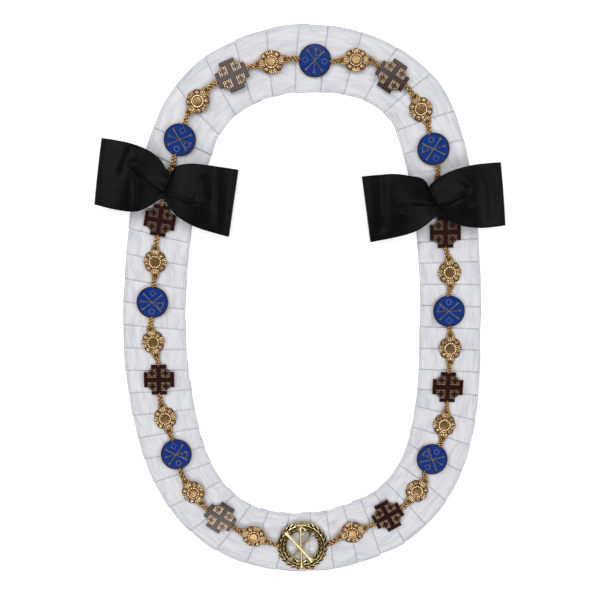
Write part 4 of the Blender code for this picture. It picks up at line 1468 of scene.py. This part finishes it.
def field_ribs():
    """Ribs of one field of the cross plate."""
    first, last = CROSS_BAR + RIB_FROM_BAR, FIELD_END - RIB_FROM_END
    line = ((0.0, 0.0), (0.0, RIB_UNIT))
    points, faces = band(line, RIB_HALF, CROSS_PLATE - RIB_SINK, CROSS_PLATE + RIB_RISE)
    sizes = {
        "Count": FIELD_RIBS,
        "First": first,
        "Pitch": (last - first) / (FIELD_RIBS - 1),
        "Base": CROSS_BAR + RIB_CLEARANCE,
        "End": FIELD_END,
        "Cut": FIELD_CUT,
    }
    return grown(rib_tree(), FIELD_GILT, sizes, points, (), faces, tone=[1.0] * len(points))


FIELD_RIB_MESH = field_ribs()


def cross_plate(name, index):
    """Gilt plate with a cross potent and four crosslets in enamel, and ribbed gilt grounds between them."""
    centre, angle = link_place(CHAIN[index])
    half, bar, bed = CROSS_HALF, CROSS_BAR, CROSS_PLATE - CROSS_INLAY
    shape = Shape()
    outline = turned_corners([(x * half, y * half) for x, y in CROSS_CORNER])
    points, faces = plate(outline, 0.0, CROSS_PLATE, CROSS_BEVEL)
    edge_tones = [0.8 if z < CROSS_PLATE - 0.0001 else 0.1 for _, _, z in points]
    shape.add(points, faces, slot=0, tone=edge_tones)
    reach, head, head_in = half - CROSS_MARGIN, CROSS_HEAD_HALF, CROSS_HEAD_IN
    corner = ((head, reach), (head, head_in), (bar, head_in), (bar, bar), (head_in, bar), (head_in, head),
              (reach, head))
    shape.add(*plate(turned_corners(corner), bed, CROSS_ENAMEL, CROSS_ENAMEL_BEVEL), slot=1)
    field = ((bar, bar), (FIELD_END, bar), (FIELD_END, FIELD_CUT), (FIELD_CUT, FIELD_END), (bar, FIELD_END),
             (bar, bar))
    for quarter, mirror in enumerate(((1, 1), (-1, 1), (-1, -1), (1, -1))):
        turn = Matrix.Rotation(quarter * math.pi / 2, 2)
        edge = [turn @ Vector(point) for point in field]
        shape.add(*band(edge, FINE_WIRE_HALF, bed, CROSS_ENAMEL), slot=2, tone=0.3)
        place = turn @ Vector((CROSSLET_REACH, CROSSLET_REACH))
        for grow, top, slot in CROSSLET_LAYERS:
            crosslet = cross_outline(CROSSLET_HALF + grow, CROSSLET_BAR + grow)
            points, faces = plate([Vector(point) + place for point in crosslet], bed, top, CROSSLET_BEVEL)
            shape.add(points, faces, slot=slot, tone=0.7)
        shape.add_mesh(FIELD_RIB_MESH, 2, mirror)
    add_tabs(shape, "cross", 3)
    return shape.build(name, (DULL_BRASS, MAROON, FIELD_GILT, LINK_GILT), link_matrix(name, centre, angle))


def leaf(left, right):
    """Laurel leaf along X, pointed at both ends, hollowed between crisp edges of the two given tones."""
    # Tone 0 in the hollow and on the underside is painted shade and patina; the lighter edge tones are
    # painted highlight.
    section = (
        # across, height, tone
        (-1.2, -0.9, 0.0),
        (-1.0, 0.6, right),
        (-0.7, 0.9, right),
        (-0.5, 0.35, 0.0),
        (0.0, 0.30, 0.0),
        (0.5, 0.35, 0.0),
        (0.7, 0.9, left),
        (1.0, 0.6, left),
        (1.2, -0.9, 0.0),
    )
    points, tones = [], []
    for a in range(LEAF_STEPS + 1):
        t = a / LEAF_STEPS
        width = LEAF_HALF * math.sin(math.pi * min(0.985, 0.10 + 0.90 * t)) ** 0.7
        arch = LEAF_RISE * (0.35 + 0.65 * math.sin(math.pi * (0.15 + 0.7 * t)))
        for across, height, tone in section:
            points.append((LEAF_LENGTH * (t - 0.5), across * width, arch * height))
            tones.append(tone)
    return points, bar_faces(LEAF_STEPS + 1, len(section)), tones


def add_leaves(shape, middle):
    """Rows of leaves up both sides of the wreath, on arcs of about the middle radius."""
    across, up = LEAVES_MIDDLE
    pitch = math.pi * LEAVES_COVER / WREATH_LEAVES
    for side in (-1, 1):
        for reach, splay, lift, ahead, inner, outer in LEAF_ROWS:
            left, right = (inner, outer) if side > 0 else (outer, inner)
            points, faces, tones = leaf(left, right)
            sizes = {
                "Count": WREATH_LEAVES,
                "Radius": middle + reach,
                "Start": side * pitch * (FIRST_LEAF + ahead) - math.pi / 2,
                "Sweep": side * pitch * (WREATH_LEAVES - 1),
                "Turn": side * (math.pi / 2 - math.radians(splay)),
                "Centre": (across, up, LEAF_FOOT + lift),
            }
            shape.add_mesh(grown(ARC_ROW, ANTIQUE, sizes, points, (), faces, tone=tones))


def wreath_badge(name, index):
    """Laurel wreath tied at the top over a chi and rho in flared round bars."""
    centre, angle = link_place(CHAIN[index])
    shape = Shape()
    middle = WREATH_RADIUS - WREATH_BAND / 2
    core = Vector((*LEAVES_MIDDLE, WREATH_CORE_LEVEL))
    points, faces = ring(core, ALONG, OUTWARD, middle, middle, WREATH_CORE_WIRE, steps=72, sides=10)
    # The core under the leaves has tone 0: painted shade and patina.
    shape.add(points, faces, slot=0, tone=0.0)
    add_leaves(shape, middle)
    shape.add(*plate(WREATH_TIE, *TIE_LEVELS, TIE_BEVEL), slot=0, tone=0.45)
    for step, (x0, y0, x1, y1, thin, wide, tone) in enumerate(WREATH_BARS):
        crest = BAR_CREST + step * BAR_STEP
        points, faces = trumpet((x0, y0), (x1, y1), thin, wide, BAR_FLARE, crest - BAR_DEPTH, crest)
        shape.add(points, faces, slot=0, tone=tone)
        for x, y in ((x0, y0), (x1, y1)):
            serif = ((x - SERIF_REACH * wide, y), (x + SERIF_REACH * wide, y))
            shape.add(*band(serif, SERIF_HALF, SERIF_LEVEL, crest), slot=0, tone=0.3)
    shape.add(*band(arc(RHO_MIDDLE, RHO_RADIUS, -90, 100, 14), SERIF_HALF, *RHO_LEVELS), slot=0, tone=0.6)
    for k in range(KNOTS):
        off = k - KNOTS // 2
        spot = (KNOTS_MIDDLE[0] + off * KNOT_PITCH, KNOTS_MIDDLE[1] - KNOT_DROP * abs(off))
        shape.add(*band(arc(spot, KNOT_RADIUS, 20, 340, 12), KNOT_HALF, *KNOT_LEVELS), slot=1, tone=0.6)
    turned = Shape()
    turned.add([(-x, -y, z) for x, y, z in shape.points], shape.faces, tone=shape.tones)
    turned.slots = shape.slots
    add_tabs(turned, "wreath", 2)
    return turned.build(name, (ANTIQUE, GILT, LINK_GILT), link_matrix(name, centre, angle), 30)


def build_chain():
    counts = dict.fromkeys(LINK_NAMES, 0)
    for index, link in enumerate(CHAIN):
        kind = link[0]
        counts[kind] += 1
        node = LINK_NAMES[kind].format(counts[kind])
        if kind == "rosette":
            item = rosette(node + "_cast", index)
        elif kind == "medallion":
            item = medallion(node + "_enamelled", index, 1 if index == 0 else -1)
        elif kind == "cross":
            item = cross_plate(node + "_enamelled", index)
        else:
            item = wreath_badge(node + "_cast", index)
        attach(item, "root")
        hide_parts(node)


# Bows


def crease_rise(spots, creases):
    """Height in metres that the creases add at points of a wing's plan, given in millimetres."""
    total = np.zeros(len(spots))
    for rise, left, right, line in creases:
        line = np.array(line) * (WING_REACH * 1000, BOW_HALF * 1000)
        nearest = np.full(len(spots), np.inf)
        aside, place = np.zeros(len(spots)), np.zeros(len(spots))
        reached = 0.0
        for start, end in zip(line, line[1:]):
            run = end - start
            length = math.hypot(*run)
            off = spots - start
            t = np.clip(off @ run / length ** 2, 0.0, 1.0)
            gap = np.linalg.norm(off - t[:, None] * run, axis=1)
            closer = gap < nearest
            nearest = np.where(closer, gap, nearest)
            aside = np.where(closer, run[0] * off[:, 1] - run[1] * off[:, 0], aside)
            place = np.where(closer, reached + t * length, place)
            reached += length
        flank = np.where(aside > 0, left, right)
        ends = np.clip(np.minimum(place, reached - place) / CREASE_FADE, 0.0, 1.0)
        total += rise * np.exp(-(nearest / flank) ** 1.6) * ends ** 2 * (3 - 2 * ends)
    return total / 1000


def placed(rows, matrix):
    """Rows of points, moved to their place in the frame."""
    grid = np.array(rows)
    return np.array([matrix @ Vector(point) for point in grid.reshape(-1, 3)]).reshape(grid.shape)


def wing_row(across, height, level):
    """Row of points over a wing's width, its height given as a share of BOW_HALF."""
    return np.stack(np.broadcast_arrays(across, height * BOW_HALF, level), axis=1)


def bow_wing(name, plan_name, side, matrix):
    """One hollow loop of ribbon: the front out from the middle, round the end fold, and the back."""
    table = smooth_rows(WING_PLANS[plan_name], WING_STEPS)
    widths = np.linspace(-1.0, 1.0, WING_COLUMNS)
    share = (widths + 1) / 2
    end_top_reach, end_top, end_bottom_reach, end_bottom, _, end_back = table[-1]
    rows = []
    for top_reach, top, bottom_reach, bottom, front, _ in table:
        reach = bottom_reach + (top_reach - bottom_reach) * share
        height = bottom + (top - bottom) * share
        end_reach = end_top_reach * share + end_bottom_reach * (1 - share)
        inset = FOLD_RADIUS * np.maximum(0.0, (reach / end_reach - FOLD_START) / FOLD_SPAN) ** 3
        gather = GATHER_RISE * np.maximum(0.0, 1 - reach / GATHER_REACH) ** 1.5
        gather = gather * np.cos(GATHER_WAVES * math.pi * share)
        crown = CROWN_RISE * (1 - widths ** 2) * np.clip(reach * CROWN_GROWTH, 0.0, 1.0)
        spots = np.column_stack((reach * WING_REACH, height * BOW_HALF)) * 1000
        z = front * BOW_DEPTH + crease_rise(spots, CREASES[plan_name]) + gather + crown - WING_SINK
        rows.append(wing_row(side * (reach * WING_REACH - inset), height, np.maximum(z, WING_LOWEST)))
    front_z = rows[-1][:, 2]
    back_z = BACK_LEVEL - end_back * BOW_DROP
    reach = end_bottom_reach + (end_top_reach - end_bottom_reach) * share
    height = end_bottom + (end_top - end_bottom) * share
    for turn in np.linspace(0, math.pi, FOLD_STEPS)[1:-1]:
        z = (front_z + back_z) / 2 + (front_z - back_z) / 2 * math.cos(turn)
        across = side * (reach * WING_REACH - FOLD_RADIUS + FOLD_RADIUS * math.sin(turn))
        rows.append(wing_row(across, height, z))
    for top_reach, top, bottom_reach, bottom, _, back in table[::-BACK_STRIDE]:
        reach = bottom_reach + (top_reach - bottom_reach) * share
        height = (bottom + (top - bottom) * share) * BACK_SHARE
        inset = FOLD_RADIUS * np.maximum(0.0, (reach - FOLD_START) / FOLD_SPAN) ** 3
        rows.append(wing_row(side * (reach * WING_REACH - inset), height, BACK_LEVEL - back * BOW_DROP))
    points = placed(rows, matrix)
    if side < 0:
        points = points[:, ::-1]
    steps = np.linalg.norm(np.diff(points[:, WING_COLUMNS // 2], axis=0), axis=1)
    lengths = np.concatenate(([0.0], np.cumsum(steps)))
    item = cloth_object(name, points, lengths, widths * BOW_HALF, BOW_CLOTH, BLACK_SILK)
    return item, float(lengths[-1])


def bow_middle(name, left_plan, right_plan, matrix):
    """Gathered cloth over the stitch: narrow upright folds that pinch in at the middle."""
    left, right = WING_PLANS[left_plan][0], WING_PLANS[right_plan][0]
    rows = []
    for share in np.linspace(0.0, 1.0, MIDDLE_STEPS):
        height = left[3] + (left[1] - left[3]) * share
        lean = ((right[2] - left[2]) * (1 - share) + (right[0] - left[0]) * share) / 2 * WING_REACH
        pinch = math.exp(-((height - PINCH_PLACE) / PINCH_SPAN) ** 2)
        half = MIDDLE_HALF * (1 - PINCH_NARROWS * pinch)
        top = MIDDLE_TOP * (1 - PINCH_LOWERS * pinch)
        row = []
        for across in np.linspace(-1.0, 1.0, MIDDLE_COLUMNS):
            folds = MIDDLE_FOLDS * math.cos(across * MIDDLE_WAVES)
            z = top * math.sqrt(1 - MIDDLE_ROUNDNESS * across ** 2) + folds
            row.append((lean + across * half, height * BOW_HALF, z))
        rows.append(row)
    width, length = GATHER_FLAT
    lengths = np.linspace(0.0, length, MIDDLE_STEPS)
    widths = np.linspace(-width / 2, width / 2, MIDDLE_COLUMNS)
    return cloth_object(name, placed(rows, matrix)[::-1], lengths, widths, BOW_CLOTH, BLACK_SILK)


def build_bows():
    for name, station, offset, turn, left_plan, right_plan in BOWS:
        point, along, _ = on_route(station)
        place = point + outwards(along) * offset * RIBBON_WIDTH + SHIFT
        spin = Matrix.Rotation(math.radians(turn), 4, "Z")
        matrix = Matrix.Translation((place.x, place.y, BOW_REST)) @ spin
        left, left_length = bow_wing(name + "_left_loop", left_plan, -1, matrix)
        right, right_length = bow_wing(name + "_right_loop", right_plan, 1, matrix)
        middle = bow_middle(name + "_gather", left_plan, right_plan, matrix)
        for piece, flat in (
                (left, (RIBBON_WIDTH, left_length)),
                (right, (RIBBON_WIDTH, right_length)),
                (middle, GATHER_FLAT)):
            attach(piece, "root")
            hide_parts(name)


# Stage


def floor():
    mesh = bpy.data.meshes.new("floor")
    corners = [(x * FLOOR_HALF, y * FLOOR_HALF, 0.0) for x, y in ((-1, -1), (1, -1), (1, 1), (-1, 1))]
    mesh.from_pydata(corners, [], [(0, 1, 2, 3)])
    material, tree, shader = new_material("white_table")
    speckle = noise(tree, object_place(tree), 30.0, 2.0)
    tree.links.new(ramp(tree, speckle, (0.0, (0.84, 0.84, 0.84)), (1.0, (0.87, 0.87, 0.87))),
                   shader.inputs["Base Color"])
    shader.inputs["Roughness"].default_value = 0.9
    shader.inputs["Specular IOR Level"].default_value = 0.1
    shader.inputs["Emission Color"].default_value = (1.0, 1.0, 1.0, 1.0)
    shader.inputs["Emission Strength"].default_value = TABLE_GLOW
    mesh.materials.append(material)
    item = bpy.data.objects.new("floor", mesh)
    bpy.context.collection.objects.link(item)


def softbox(name, place, width, height, radiance):
    """Large soft light that faces the collar's middle."""
    light = bpy.data.lights.new(name, "AREA")
    light.shape = "RECTANGLE"
    light.size = width
    light.size_y = height
    light.energy = radiance * math.pi * width * height
    item = bpy.data.objects.new(name, light)
    item.location = place
    item.rotation_euler = (-Vector(place)).to_track_quat("-Z", "Y").to_euler()
    bpy.context.collection.objects.link(item)


def studio():
    floor()
    for row in SOFTBOXES:
        softbox(*row)
    world = bpy.data.worlds.new("studio")
    world.use_nodes = True
    sky = world.node_tree.nodes["Background"].inputs
    sky["Color"].default_value = (0.9, 0.92, 1.0, 1.0)
    sky["Strength"].default_value = SKY_GLOW
    bpy.context.scene.world = world
    bpy.context.scene.view_settings.view_transform = "Standard"
    camera = bpy.data.cameras.new("photo_camera")
    camera.lens = LENS
    camera.sensor_width = SENSOR
    item = bpy.data.objects.new("photo_camera", camera)
    across, up = VIEW_MIDDLE
    item.location = (across, up + VIEW_DISTANCE * math.sin(VIEW_LEAN), VIEW_DISTANCE * math.cos(VIEW_LEAN))
    item.rotation_euler = (-VIEW_LEAN, 0.0, 0.0)
    bpy.context.collection.objects.link(item)
    bpy.context.scene.camera = item


pleated_ribbon()
build_chain()
build_bows()
studio()
